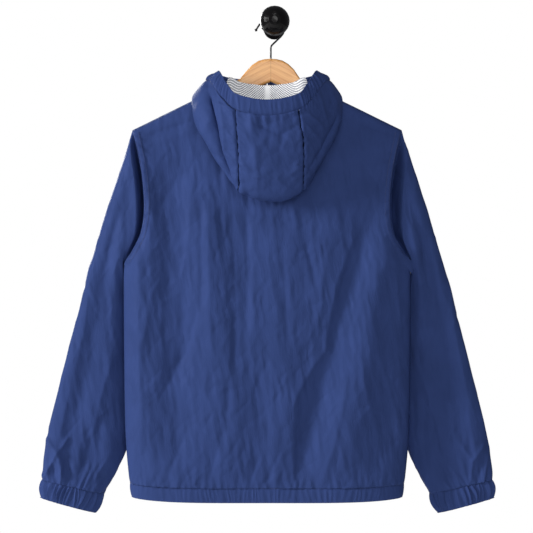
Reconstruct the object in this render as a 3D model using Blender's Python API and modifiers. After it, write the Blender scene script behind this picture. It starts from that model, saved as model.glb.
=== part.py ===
# Hooded windbreaker jacket on a wooden hanger that hangs from a ball-ended wall peg.
#
# World: metres, +Z up, +X to the wearer's right, -Y behind the jacket. The origin is the
# middle of the peg's flat wall face. Tables and sizes below are in millimetres, and the
# jacket's own are read from its centre line, with height 0 near the peg's axis.
import math

import bmesh
import bpy
from mathutils import Vector

MM = 0.001

# Places of the hanging pieces
HANG_DEPTH = 75.0          # wall to the middle plane of hanger and jacket
JACKET_SIDE = -12.6        # the jacket's centre line, left of the peg
JACKET_LIFT = 4.5          # height of the jacket's zero above the peg's axis

# Cloth
CLOTH = 1.2                # thickness of a cloth wall
SEAM = 0.3                 # gap left between two sewn pieces
ARMHOLE_EASE = 1.4         # wider gap where body and sleeve meet in a valley
UNDERARM_EASE = 2.6

# Body
SHOULDER_X, SHOULDER_Z = 228.0, -186.2
NECK_X, NECK_Z = 95.0, -121.0
BACK_NECK_Z = -140.0
FRONT_NECK_Z = -195.0
UNDERARM_Z = -414.0
HEM_SEAM_Z = -791.5
HEM_Z = -816.0
HEM_CORNER_RISE = 6.0
ZIP_EDGE = 7.3             # front edge of each front panel, from the centre line
ARM_ROWS = 12              # rows between shoulder and underarm, shared with the sleeve
LOWER_ROWS = (0.08, 0.2, 0.34, 0.48, 0.62, 0.75, 0.87, 0.95, 1.0)
# Columns of the panels, as shares of the half width; three stand close at the neck's corner
BACK_COLUMNS = (0.0, 0.11, 0.22, 0.31, 0.37, 0.4, 0.4167, 0.52, 0.64, 0.76, 0.87, 0.95, 1.0)
FRONT_COLUMNS = (0.0, 0.1, 0.19, 0.28, 0.3493, 0.3802, 0.3974, 0.52, 0.64, 0.76, 0.87, 0.95,
                 1.0)
SIDE_ROUNDING = (6.0, 2.4)  # boxiness of the body's section at the shoulder, below the underarm
HEM_EASE = 0.7

# Side edge of the body: height, half width
SIDE_EDGE = (
    (-816.0, 229.0), (-791.5, 231.0), (-776.0, 234.0), (-713.0, 239.5),
    (-645.0, 241.5), (-500.0, 243.0), (-414.0, 243.3),
)
# Armhole: share of the way from shoulder to underarm, back half width, front half width
ARMHOLE = (
    (0.0, 228.0, 228.0), (0.075, 224.0, 221.0), (0.185, 218.0, 213.0), (0.33, 211.5, 205.0),
    (0.47, 208.0, 201.0), (0.58, 207.0, 200.0), (0.69, 209.0, 202.0), (0.8, 215.5, 210.0),
    (0.91, 229.0, 226.0), (1.0, 243.3, 243.3),
)
ARMHOLE_DEPTH = 28.0
# Depth of the hanging cloth: drop below the shoulder line, half depth
DRAPE = (
    (0.0, 0.0), (4.0, 8.2), (10.0, 10.6), (30.0, 15.0), (60.0, 22.0), (110.0, 33.0),
    (180.0, 42.0), (260.0, 45.0), (500.0, 45.0), (745.0, 38.0),
)
# Large folds: start x, start z, end x, end z, half width, height out of the cloth
BACK_FOLDS = (
    (-222.0, -330.0, -215.0, -700.0, 16.0, 7.0),
    (-168.0, -250.0, -150.0, -740.0, 26.0, -9.0),
    (-95.0, -330.0, -60.0, -770.0, 34.0, 6.0),
    (20.0, -350.0, 30.0, -770.0, 30.0, 5.0),
    (172.0, -330.0, 45.0, -775.0, 24.0, -9.0),
    (205.0, -390.0, 120.0, -770.0, 26.0, 6.0),
    (198.0, -420.0, 205.0, -740.0, 20.0, -4.0),
)
FRONT_FOLDS = (
    (200.0, -330.0, 190.0, -720.0, 26.0, -7.0),
    (150.0, -260.0, 110.0, -760.0, 30.0, 6.0),
    (70.0, -260.0, 45.0, -740.0, 24.0, -6.0),
    (-198.0, -350.0, -160.0, -760.0, 26.0, -7.0),
    (-130.0, -240.0, -120.0, -700.0, 30.0, 6.0),
    (-75.0, -300.0, -40.0, -760.0, 22.0, -5.0),
)

# Sleeve rings from armhole to cuff: outer x, z, y, inner x, z, y, half depth,
# how far the ring keeps the armhole's curve, depth of the valley beside the seam
SLEEVE_RINGS = (
    (228.0, -186.2, 0.0, 243.3, -414.0, 0.0, 28.0, 1.0, 0.0),
    (235.5, -210.0, 0.5, 247.5, -416.0, 0.5, 29.0, 0.62, 6.0),
    (246.0, -242.3, 2.0, 250.0, -421.0, 1.5, 30.0, 0.36, 8.0),
    (258.0, -279.7, 5.0, 250.5, -428.0, 4.0, 30.0, 0.18, 4.0),
    (271.0, -322.0, 9.0, 248.5, -438.0, 9.0, 29.0, 0.06, 1.0),
    (286.5, -373.0, 13.0, 242.0, -455.0, 20.0, 27.0, 0.0, 0.0),
    (305.5, -433.0, 17.0, 231.0, -487.0, 34.0, 26.0, 0.0, 0.0),
    (320.0, -490.0, 20.0, 222.5, -526.0, 43.0, 25.0, 0.0, 0.0),
    (337.0, -549.5, 23.0, 219.0, -570.0, 47.0, 24.0, 0.0, 0.0),
    (352.0, -607.5, 25.0, 219.5, -621.0, 46.0, 23.0, 0.0, 0.0),
    (365.0, -659.0, 26.0, 224.5, -667.5, 43.0, 22.0, 0.0, 0.0),
    (375.5, -703.5, 26.0, 235.0, -710.5, 39.0, 20.0, 0.0, 0.0),
    (382.0, -746.5, 25.0, 250.5, -751.5, 32.0, 17.0, 0.0, 0.0),
    (382.5, -783.5, 24.0, 281.5, -807.0, 27.0, 13.5, 0.0, 0.0),
)
CUFF_END = (386.5, -815.0, 24.0, 295.5, -840.5, 26.0, 12.5, 0.0, 0.0)
SLEEVE_FULLNESS = 0.75     # below 1, the ring is fuller than an ellipse
SLEEVE_INNER_FULLNESS = 1.15  # slimmer beside the body, on the back half
# Folds round the sleeve: ring number, share across from the outer edge, length in rings,
# half width as a share, height
SLEEVE_FOLDS = (
    (4.5, 0.35, 3.0, 0.12, -5.0),
    (7.0, 0.62, 4.0, 0.13, 5.0),
    (9.5, 0.30, 3.5, 0.12, -5.0),
    (11.5, 0.60, 2.0, 0.12, -4.0),
)

# Gathers
HEM_WAVES = 76
CUFF_WAVES = 24
CASING_WAVES = 54
STEPS_PER_WAVE = 2
HEM_WAVE_HEIGHT = 1.3
CUFF_WAVE_HEIGHT = 1.4
CASING_WAVE_HEIGHT = 1.0

# Hood ribs, from the centre back (0) round to the front of the neck (1): fold above the
# neck, inner layer, edge of the bag, radius of that edge, outer layer, rim (x, y, z each)
HOOD_RIBS = (
    (0.0, (0, -30, -114), (0, -45, -200), (0, -70, -310), 14, (0, -104, -215), (0, -100, -144)),
    (0.3, (42, -31, -110), (50, -44, -190), (52, -66, -291), 14, (54, -98, -205), (50, -92, -134)),
    (0.5, (64, -33, -101), (82, -38, -162), (90, -52, -232), 11, (82, -82, -170), (66, -72, -116)),
    (0.68, (88, -6, -104), (108, -19, -127), (122, -37, -173), 8, (107, -54, -138), (81, -38, -91)),
    (0.75, (90, 8, -108), (107, -2, -115), (126, -17, -133), 6, (109, -34, -114), (85, -14, -90)),
    (0.8, (86, 17, -122), (99, 14, -113), (113, 7, -118), 5, (108, -4, -105), (91, 4, -93)),
    (0.86, (71, 26, -142), (80, 28, -126), (88, 28, -114), 4, (92, 26, -102), (88, 24, -90)),
    (0.92, (45, 34, -164), (49, 37, -147), (53, 39, -130), 3.5, (55, 39, -114), (55, 37, -99)),
    (1.0, (8, 38, -180), (7, 41, -162), (6.5, 43, -143), 3, (6, 43, -125), (5.5, 41, -107)),
)
HOOD_LIFT = 3.0            # hood's lower edge above the body's neck edge
HOOD_SEAM = 0.3            # rib of the seam between centre strip and side panel
NECK_TURN = 0.68           # rib that starts at the shoulder seam
# Rows of a hood panel, as shares of the way from the neckline to the casing
HOOD_ROWS = (0.0, 0.05, 0.1, 0.14, 0.18, 0.23, 0.3, 0.38, 0.45, 0.51, 0.57, 0.63, 0.69, 0.75,
             0.82, 0.9, 1.0)
CASING_WIDTH = 16.0
CASING_SHARE = 0.18        # most of a short rib that the casing may take
CASING_GAP = 1.0
CENTRE_STEPS = 6           # steps between ribs across the centre strip
SIDE_RIBS = (0.3, 0.36, 0.43, 0.5, 0.56, 0.62, 0.68, 0.71, 0.75, 0.78, 0.81, 0.84, 0.88, 0.92,
             0.96, 1.0)
LINING_SIDE = 0.5          # rib where the mesh lining ends
LINING_START = 0.14        # its first row, just inside the fold over the neck
LINING_CLOTH = 1.0
LINING_GAP = 0.6

# Zip
ZIP_TOP_Z = -197.0
ZIP_CENTRE_GAP = 0.15
SLIDER_Z = -212.0
SLIDER = (11.0, 4.0, 15.0)          # width, depth, height
BRIDGE_RISE = 4.2
BRIDGE_HALF = 4.5
BRIDGE_WIRE = 0.8
PULL_AXIS_OUT = 1.9                 # hinge axis, out from the slider's face
PULL_WIDTH = 7.0
PULL_LENGTH = 26.0
PULL_THICK = 1.6
PULL_WINDOW = (3.6, 6.5)            # width, height of the hole that takes the bridge

# Hanger
STEM_X = 6.3
WOOD_THICK = 8.6
WOOD_UNDER = 4.5                    # height of the rounding under the wood
# Top edge near the stem: distance from the stem, height
DOME = ((0.0, -64.9), (11.0, -65.7), (21.5, -68.6), (31.0, -74.8), (42.0, -86.0), (54.0, -101.5))
ARM_DROP = 1.4                      # top of the arm below the cloth's shoulder line
ARM_END_X = 203.0
ARM_HEIGHT = (27.0, 19.0)           # beside the notch, at the tip
NOTCH_HALF = 17.0
NOTCH_TOP_Z = -104.6
NOTCH_SLOPE = 0.42
ARM_STATIONS = (0.0, 0.05, 0.1, 0.15, 0.2, 0.25, 0.3, 0.4, 0.55, 0.7, 0.85, 1.0)
WIRE = 1.55                         # radius of the hook's wire
HOOK_CENTRE = (7.8, -13.1)
HOOK_RADIUS = 21.0
HOOK_ARC = (148.0, -45.0)           # degrees, from the tail over the top to the neck
HOOK_TAIL = 19.0
HOOK_BEND = (8.3, -41.7)
HOOK_TIP_SWELL = 1.65

# Wall peg
BALL_RADIUS = 25.5
BALL_CENTRE = 106.0                 # from the wall
ROD_RADIUS = 9.0
FLANGE_RADIUS, FLANGE_THICK = 19.0, 5.0
PEG_SIDES = 24


def read_curve(rows, at, column=1):
    """Smooth curve through a table's rows, read at one value of its first column."""
    xs = [row[0] for row in rows]
    ys = [row[column] for row in rows]
    at = min(max(at, xs[0]), xs[-1])
    i = max(k for k in range(len(xs) - 1) if xs[k] <= at)
    span = xs[i + 1] - xs[i]

    def slope(k):
        low, high = max(k - 1, 0), min(k + 1, len(xs) - 1)
        return (ys[high] - ys[low]) / (xs[high] - xs[low])

    u = (at - xs[i]) / span
    rise = ys[i + 1] - ys[i]
    return (ys[i] + rise * (3 * u * u - 2 * u ** 3)
            + slope(i) * span * (u ** 3 - 2 * u * u + u)
            + slope(i + 1) * span * (u ** 3 - u * u))


def ease(value):
    """Smooth step from 0 to 1."""
    value = min(max(value, 0.0), 1.0)
    return value * value * (3 - 2 * value)


def fold_height(x, z, folds):
    """Height that the large folds give the cloth at one place."""
    total = 0.0
    for x0, z0, x1, z1, half_width, height in folds:
        length = math.hypot(x1 - x0, z1 - z0)
        along = ((x - x0) * (x1 - x0) + (z - z0) * (z1 - z0)) / length
        across = ((x - x0) * (z1 - z0) - (z - z0) * (x1 - x0)) / length
        fade = ease(along / 70.0 + 0.5) * ease((length - along) / 70.0 + 0.5)
        total += height * fade * math.exp(-(across / half_width) ** 2)
    return total


# Body

def shoulder_line(x):
    """Height of the shoulder line, which runs on as a ridge over the neck."""
    return NECK_Z + (abs(x) - NECK_X) * (SHOULDER_Z - NECK_Z) / (SHOULDER_X - NECK_X)


def top_edge(x, side):
    """Height of a panel's top edge: neckline, then shoulder seam. side -1 back, 1 front."""
    if abs(x) >= NECK_X:
        return shoulder_line(x)
    neck, power = (BACK_NECK_Z, 2.2) if side < 0 else (FRONT_NECK_Z, 2.6)
    return neck + (NECK_Z - neck) * (abs(x) / NECK_X) ** power


def armhole_share(row):
    """Share of the way from shoulder to underarm at a row, close set at both ends."""
    return (1 - math.cos(math.pi * row / ARM_ROWS)) / 2


def armhole_point(share, side):
    """Point of the armhole seam on the wearer's right."""
    x = read_curve(ARMHOLE, share, 1 if side < 0 else 2)
    depth = ARMHOLE_DEPTH * math.sin(math.pi * share) ** 0.6 if 0 < share < 1 else 0.0
    return x, side * depth, SHOULDER_Z + (UNDERARM_Z - SHOULDER_Z) * share


def panel_depth(x, z, across, edge_depth, boxiness, side):
    """Depth of the cloth at one place of a body panel."""
    drop = max(shoulder_line(x) - z, 0.0)
    middle = read_curve(DRAPE, drop)
    fullness = max(1 - abs(across) ** boxiness, 0.0) ** 0.5
    folds = fold_height(x, z, BACK_FOLDS if side < 0 else FRONT_FOLDS)
    folds *= ease((1 - abs(across)) / 0.12) * ease(drop / 80.0)
    depth = edge_depth + (middle - edge_depth) * fullness + folds
    return side * max(depth, SEAM / 2)


def body_point(across, row, side, inset=0.0):
    """Point of a body panel. across is -1 to 1, row counts down from the top edge."""
    sign = 1 if across >= 0 else -1
    if row <= ARM_ROWS:
        share = armhole_share(row)
        half = armhole_point(share, side)[0]
        edge_depth = abs(armhole_point(share, side)[1])
        x_top = sign * inset + across * (SHOULDER_X - inset)
        z = UNDERARM_Z + (top_edge(x_top, side) - UNDERARM_Z) * (1 - share)
        boxiness = SIDE_ROUNDING[0] + (SIDE_ROUNDING[1] - SIDE_ROUNDING[0]) * share
        half -= SEAM * ease(share / 0.02)
    else:
        share = LOWER_ROWS[row - ARM_ROWS - 1]
        seam_z = HEM_SEAM_Z + HEM_CORNER_RISE * abs(across) ** 4
        z = UNDERARM_Z + (seam_z - UNDERARM_Z) * share
        half = read_curve(SIDE_EDGE, z)
        edge_depth = 0.0
        boxiness = SIDE_ROUNDING[1]
    x = sign * inset + across * (half - inset)
    return x, panel_depth(x, z, across, edge_depth, boxiness, side), z


def hem_point(across, height, side):
    """Point of the hem band. height is 0 at the seam and 1 at the bottom edge."""
    rise = HEM_CORNER_RISE * abs(across) ** 4
    z = HEM_SEAM_Z + (HEM_Z - HEM_SEAM_Z) * height + rise
    x = across * read_curve(SIDE_EDGE, z)
    return x, panel_depth(x, z, across, 0.0, SIDE_ROUNDING[1], side), z


# Sleeve

def ring_values(rings, ring):
    """A ring's values at a whole or part number, read between the table's rows."""
    numbered = [(number,) + tuple(row) for number, row in enumerate(rings)]
    return [read_curve(numbered, ring, column) for column in range(1, 10)]


def ring_point(values, share, side):
    """Plain ring: an oval from its outer edge (share 0) to its inner edge (share 1)."""
    outer_x, outer_z, outer_y, inner_x, inner_z, inner_y, depth = values[:7]
    turn = math.acos(max(-1.0, min(1.0, 1 - 2 * share)))
    fullness = SLEEVE_FULLNESS
    if side < 0:
        fullness += (SLEEVE_INNER_FULLNESS - SLEEVE_FULLNESS) * ease(share * 2 - 1)
    swell = math.sin(turn) ** fullness if 0 < share < 1 else 0.0
    return Vector((outer_x + (inner_x - outer_x) * share,
                   outer_y + (inner_y - outer_y) * share + side * depth * swell,
                   outer_z + (inner_z - outer_z) * share))


def sleeve_point(ring, share, side):
    """Point of the wearer's right sleeve. side -1 is its back half, 1 its front half."""
    values = ring_values(SLEEVE_RINGS, ring)
    keep = values[7] * (1 - 0.6 * ease((share - 0.75) / 0.25) * min(ring, 1))
    valley = values[8]
    point = ring_point(values, share, side)
    seam = Vector(armhole_point(share, side))
    point += (seam - ring_point(SLEEVE_RINGS[0], share, side)) * keep
    middle = math.sin(math.pi * min(max(share, 0.0), 1.0)) ** 2
    point.y -= side * valley * middle * (1.0 if side < 0 else 0.6)
    for fold_ring, across, length, half_width, height in SLEEVE_FOLDS:
        near = math.exp(-((ring - fold_ring) / length) ** 2 * 2)
        near *= math.exp(-((share - across) / half_width) ** 2)
        point.y += side * height * near
    return point


# Hood

def neck_point(rib):
    """Place on the neckline where a hood rib starts, for ribs from 0 to 1."""
    if rib <= NECK_TURN:
        side, x = -1, NECK_X * rib / NECK_TURN
    else:
        side = 1
        x = NECK_X - (NECK_X - ZIP_EDGE - 1.7) * ((rib - NECK_TURN) / (1 - NECK_TURN)) ** 1.6
    columns = BACK_COLUMNS if side < 0 else FRONT_COLUMNS
    inset = 0.0 if side < 0 else ZIP_EDGE
    edge = [body_point(max(c, 1e-6), 0, side, inset) for c in columns]
    before, after = next((a, b) for a, b in zip(edge, edge[1:]) if b[0] >= x - 1e-4)
    share = (x - before[0]) / (after[0] - before[0])
    return Vector(before).lerp(Vector(after), share) + Vector((0, 0, HOOD_LIFT))


def rib_points(rib):
    """Control points of one rib, from the neckline over the fold and the bag to the rim."""
    mirror = Vector((1 if rib >= 0 else -1, 1, 1))
    rib = abs(rib)

    def read(column):
        rows = [(row[0],) + tuple(row[column]) for row in HOOD_RIBS]
        mirrored = [(-row[0], -row[1], row[2], row[3]) for row in rows[:0:-1]]
        return Vector([read_curve(mirrored + rows, rib, axis) for axis in (1, 2, 3)])

    fold, inner, edge, outer, rim = read(1), read(2), read(3), read(5), read(6)
    radius = read_curve([(row[0], row[4]) for row in HOOD_RIBS], rib)
    inwards = (inner + outer) / 2 - edge
    inwards /= inwards.length + radius
    sideways = (inner - outer).normalized()
    edge_in = edge + (inwards * 0.8 + sideways) * radius
    edge_out = edge + (inwards * 0.8 - sideways) * radius
    points = [neck_point(rib), fold, inner, edge_in, edge, edge_out, outer, rim]
    return [Vector(a * b for a, b in zip(point, mirror)) for point in points]


def along_rib(points, place):
    """Point on the smooth curve through a rib's points. place 0 is the first of them."""
    i = min(int(place), len(points) - 2)
    rise = Vector((0, 0, (points[1] - points[0]).length))
    # The cloth stands straight up from the neckline.
    before = points[i - 1] if i > 0 else points[0] - rise
    after = points[i + 2] if i + 2 < len(points) else points[-1] * 2 - points[-2]
    spots = (before, points[i], points[i + 1], after)
    knots = [0.0]
    for a, b in zip(spots, spots[1:]):
        knots.append(knots[-1] + max((b - a).length, 1e-6) ** 0.5)
    at = knots[1] + (knots[2] - knots[1]) * (place - i)

    def blend(first, second, start, end):
        return first.lerp(second, (at - start) / (end - start))

    lines = [blend(spots[k], spots[k + 1], knots[k], knots[k + 1]) for k in range(3)]
    bows = [blend(lines[k], lines[k + 1], knots[k], knots[k + 2]) for k in range(2)]
    return blend(bows[0], bows[1], knots[1], knots[2])


def casing_place(points, gap):
    """Where a rib passes from the panel into the casing, a gap nearer to the neck."""
    steps = 160
    places = [7.0 * (1 - step / steps) for step in range(steps + 1)]
    spots = [along_rib(points, place) for place in places]
    lengths = [0.0]
    for a, b in zip(spots, spots[1:]):
        lengths.append(lengths[-1] + (a - b).length)
    width = min(CASING_WIDTH, lengths[-1] * CASING_SHARE) + gap
    after = next(i for i, length in enumerate(lengths) if length >= width)
    share = (width - lengths[after - 1]) / (lengths[after] - lengths[after - 1])
    return places[after - 1] + (places[after] - places[after - 1]) * share


def hood_grid(ribs):
    """Grid of a hood panel between the neckline and the casing."""
    grid = []
    for rib in ribs:
        points = rib_points(rib)
        end = casing_place(points, CASING_GAP / 2)
        grid.append([along_rib(points, end * row) for row in HOOD_ROWS])
    return grid


# Making pieces

def start_scene():
    for thing in list(bpy.data.objects):
        bpy.data.objects.remove(thing)
    made = bpy.data.collections.new("windbreaker_jacket")
    bpy.context.scene.collection.children.link(made)
    cutters = bpy.data.collections.new("cutters")
    bpy.context.scene.collection.children.link(cutters)
    return made, cutters


def material(name, colour, roughness, metallic=0.0):
    made = bpy.data.materials.new(name)
    made.use_nodes = True
    shader = made.node_tree.nodes["Principled BSDF"]
    shader.inputs["Base Color"].default_value = (*colour, 1.0)
    shader.inputs["Roughness"].default_value = roughness
    shader.inputs["Metallic"].default_value = metallic
    return made


def add_object(name, data, finish, parent, collection):
    piece = bpy.data.objects.new(name, data)
    collection.objects.link(piece)
    piece.parent = parent
    if data.materials:
        data.materials[0] = finish
    else:
        data.materials.append(finish)
    return piece


def sheet(name, grid, finish, closed=False, flip=False, thickness=CLOTH):
    """Cloth wall on a grid of points in millimetres, thickened away from the inside."""
    rows, columns = len(grid), len(grid[0])
    points = [tuple(value * MM for value in point) for row in grid for point in row]
    faces = []
    for i in range(rows - 1):
        for j in range(columns if closed else columns - 1):
            k = (j + 1) % columns
            face = (i * columns + j, i * columns + k, (i + 1) * columns + k, (i + 1) * columns + j)
            faces.append(face[::-1] if flip else face)
    mesh = bpy.data.meshes.new(name)
    mesh.from_pydata(points, [], faces)
    mesh.shade_smooth()
    piece = add_object(name, mesh, finish, garment, model)
    wall = piece.modifiers.new("Wall", "SOLIDIFY")
    wall.thickness = thickness * MM
    wall.offset = 1.0
    return piece


model, cutter_collection = start_scene()
hang_point = bpy.data.objects.new("hang_point", None)
model.objects.link(hang_point)
hang_point.location = (0.0, -HANG_DEPTH * MM, 0.0)
garment = bpy.data.objects.new("garment", None)
model.objects.link(garment)
garment.parent = hang_point
garment.location = (JACKET_SIDE * MM, 0.0, JACKET_LIFT * MM)

nylon = material("blue nylon taffeta", (0.058, 0.098, 0.27), 0.5)
nylon_casing = material("blue nylon casing", (0.054, 0.092, 0.255), 0.52)
mesh_cloth = material("white polyester mesh", (0.62, 0.62, 0.65), 0.8)
tape_cloth = material("blue zip tape", (0.03, 0.05, 0.14), 0.7)
zip_metal = material("zip metal", (0.12, 0.12, 0.13), 0.35, 1.0)
beech = material("beech", (0.72, 0.4, 0.17), 0.4)
black_wire = material("black coated wire", (0.012, 0.012, 0.013), 0.3)
black_gloss = material("black gloss", (0.006, 0.006, 0.006), 0.12)


# Back and fronts

def make_body():
    columns = [-c for c in BACK_COLUMNS[:0:-1]] + list(BACK_COLUMNS)
    rows = range(ARM_ROWS + len(LOWER_ROWS) + 1)
    grid = [[body_point(c, row, -1) for c in columns] for row in rows]
    sheet("back", grid, nylon, flip=True)
    for name, sign in (("front_left", -1), ("front_right", 1)):
        grid = [[body_point(sign * max(c, 1e-6), row, 1, ZIP_EDGE) for c in FRONT_COLUMNS]
                for row in rows]
        sheet(name, grid, nylon, flip=sign < 0)


def gathered(point, normal, wave, height):
    """Point of a casing, pushed out along its normal by one step of a gather."""
    return Vector(point) + normal * height * (wave % STEPS_PER_WAVE)


def make_hem():
    steps = HEM_WAVES * STEPS_PER_WAVE // 4
    quarter = [math.sin(math.pi / 2 * step / steps) for step in range(steps + 1)]
    zip_share = ZIP_EDGE / SIDE_EDGE[0][1]
    front = [max(c, zip_share) for c in quarter if c > zip_share * 0.6]
    ring = ([(-c, 1) for c in front] + [(-c, -1) for c in quarter[-2::-1]]
            + [(c, -1) for c in quarter[1:]] + [(c, 1) for c in front[-2::-1]])
    top = HEM_EASE / (HEM_SEAM_Z - HEM_Z)
    grid = []
    for height in (top, 1.0):
        line = []
        for number, (across, side) in enumerate(ring):
            point = Vector(hem_point(across, height, side))
            out = Vector((point.x / 240.0 * abs(across) ** 3, side * (1.05 - abs(across)), 0))
            line.append(gathered(point, out.normalized(), number, HEM_WAVE_HEIGHT))
        grid.append(line)
    sheet("hem_band", grid, nylon_casing)


# Sleeves and cuffs

def sleeve_stations():
    back = [(armhole_share(row), -1) for row in range(ARM_ROWS + 1)]
    front = [(armhole_share(row), 1) for row in range(ARM_ROWS - 1, 0, -1)]
    return back + front


def make_sleeve(name, sign):
    mirror = Vector((sign, 1, 1))
    grid = []
    for ring in range(len(SLEEVE_RINGS)):
        line = []
        for share, side in sleeve_stations():
            point = sleeve_point(ring, share, side)
            if ring == 0:
                low = ease((share - 0.8) / 0.2)
                away = ARMHOLE_EASE + (UNDERARM_EASE - ARMHOLE_EASE) * low
                point += Vector((1, 0, low)).normalized() * away
            line.append(Vector(a * b for a, b in zip(point, mirror)))
        grid.append(line)
    sheet(name, grid, nylon, closed=True, flip=sign < 0)


def make_cuff(name, sign):
    rings = (SLEEVE_RINGS[-1], CUFF_END)
    count = CUFF_WAVES * STEPS_PER_WAVE
    grid = []
    for height in (0.02, 1.0):
        values = [a + (b - a) * height for a, b in zip(*rings)]
        middle = (ring_point(values, 0.5, -1) + ring_point(values, 0.5, 1)) / 2
        line = []
        for number in range(count):
            turn = 2 * math.pi * number / count
            share, side = (1 - math.cos(turn)) / 2, -1 if turn <= math.pi else 1
            point = ring_point(values, share, side)
            out = (point - middle).normalized()
            point = gathered(point, out, number, CUFF_WAVE_HEIGHT)
            line.append(Vector((sign * point.x, point.y, point.z)))
        grid.append(line)
    sheet(name, grid, nylon_casing, closed=True, flip=sign < 0)


# Hood

def spread(start, end, count):
    return [start + (end - start) * step / count for step in range(count + 1)]


def make_hood():
    shy = 0.0016
    centre = spread(-HOOD_SEAM + shy, HOOD_SEAM - shy, CENTRE_STEPS)
    sheet("hood_centre", hood_grid(centre), nylon, flip=True)
    for name, sign in (("hood_side_left", -1), ("hood_side_right", 1)):
        ribs = [sign * (rib + shy * (rib == HOOD_SEAM)) for rib in SIDE_RIBS]
        sheet(name, hood_grid(ribs), nylon, flip=sign > 0)


def casing_line(rib):
    """Start of the casing, a point on its way up and the rim, at one rib."""
    points = rib_points(rib)
    start = casing_place(points, -CASING_GAP / 2)
    return along_rib(points, start), along_rib(points, 7.0)


def make_casing():
    stations = sorted({-rib for rib in SIDE_RIBS} | set(SIDE_RIBS)
                      | set(spread(-HOOD_SEAM, HOOD_SEAM, CENTRE_STEPS)[1:-1]))
    lines = [casing_line(rib) for rib in stations]
    lengths = [0.0]
    for a, b in zip(lines, lines[1:]):
        lengths.append(lengths[-1] + (a[0] - b[0]).length)
    count = CASING_WAVES * STEPS_PER_WAVE
    grid = []
    for number in range(count + 1):
        at = lengths[-1] * number / count
        i = min(max(k for k in range(len(stations)) if lengths[k] <= at), len(stations) - 2)
        share = (at - lengths[i]) / (lengths[i + 1] - lengths[i])
        base, rim = (lines[i][k].lerp(lines[i + 1][k], share) for k in (0, 1))
        across = lines[i + 1][0] - lines[i][0]
        out = across.cross(rim - base).normalized()
        fade = 1 - abs(2 * number / count - 1) ** 8
        grid.append([gathered(point, out, number, CASING_WAVE_HEIGHT * fade)
                     for point in (base, rim)])
    sheet("hood_casing", grid, nylon_casing, flip=True)


def make_lining():
    # It shares the panels' ribs and rows, so the two walls stay parallel.
    side = [rib for rib in SIDE_RIBS if HOOD_SEAM < rib <= LINING_SIDE]
    ribs = [-rib for rib in side[::-1]] + spread(-HOOD_SEAM, HOOD_SEAM, CENTRE_STEPS) + side
    shell = hood_grid(ribs)
    first = next(i for i, row in enumerate(HOOD_ROWS) if row >= LINING_START)
    grid = []
    for i in range(len(shell)):
        line = []
        for j in range(first, len(HOOD_ROWS) - 1):
            before, after = shell[max(i - 1, 0)][j], shell[min(i + 1, len(shell) - 1)][j]
            out = (after - before).cross(shell[i][j + 1] - shell[i][j - 1]).normalized()
            line.append(shell[i][j] - out * (LINING_GAP + LINING_CLOTH))
        grid.append(line)
    sheet("hood_lining", grid, mesh_cloth, flip=True, thickness=LINING_CLOTH)


# Zip

def zip_line(z):
    """Depth of the front at the centre line, at one height."""
    return read_curve(DRAPE, shoulder_line(0) - z)


def make_zip():
    rows = spread(ZIP_TOP_Z, HEM_Z, 14)
    for name, sign in (("zip_tape_left", -1), ("zip_tape_right", 1)):
        grid = [[(sign * x, zip_line(z) + rise, z) for x, rise in
                 ((ZIP_EDGE - SEAM, 0.0), (2.6, 0.0), (2.2, 1.2), (ZIP_CENTRE_GAP, 1.2))]
                for z in rows]
        sheet(name, grid, tape_cloth, flip=sign > 0)


def block(name, size, finish, parent, collection, edge=0.0):
    """Box with its size applied and its edges rounded."""
    bpy.ops.mesh.primitive_cube_add(size=1.0)
    piece = bpy.context.object
    piece.name = name
    for vertex in piece.data.vertices:
        vertex.co = [value * full * MM for value, full in zip(vertex.co, size)]
    for user in list(piece.users_collection):
        user.objects.unlink(piece)
    collection.objects.link(piece)
    piece.parent = parent
    piece.data.materials.append(finish)
    if edge:
        bevel = piece.modifiers.new("Edges", "BEVEL")
        bevel.width = edge * MM
        bevel.segments = 2
    return piece


def poly_curve(name, points, radius, resolution=2, swell=None):
    """Round bar along points in millimetres."""
    data = bpy.data.curves.new(name, "CURVE")
    data.dimensions = "3D"
    data.bevel_depth = radius * MM
    data.bevel_resolution = resolution
    data.use_fill_caps = True
    line = data.splines.new("POLY")
    line.points.add(len(points) - 1)
    for number, (spot, point) in enumerate(zip(line.points, points)):
        spot.co = (*[value * MM for value in point], 1.0)
        spot.radius = swell[number] if swell else 1.0
    return data


def curve_mesh(name, data, finish, parent, collection):
    """Mesh made from a curve, with its caps welded."""
    shape = add_object(name + "_curve", data, finish, parent, collection)
    bpy.context.view_layer.update()
    solid = shape.evaluated_get(bpy.context.evaluated_depsgraph_get())
    mesh = bpy.data.meshes.new_from_object(solid)
    mesh.name = name
    bpy.data.objects.remove(shape)
    work = bmesh.new()
    work.from_mesh(mesh)
    bmesh.ops.remove_doubles(work, verts=work.verts, dist=1e-6)
    work.to_mesh(mesh)
    work.free()
    return add_object(name, mesh, finish, parent, collection)


def boolean(piece, other, operation):
    cut = piece.modifiers.new(operation.title(), "BOOLEAN")
    cut.operation = operation
    cut.solver = "EXACT"
    cut.object = other
    other.hide_render = True
    other.display_type = "WIRE"


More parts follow.
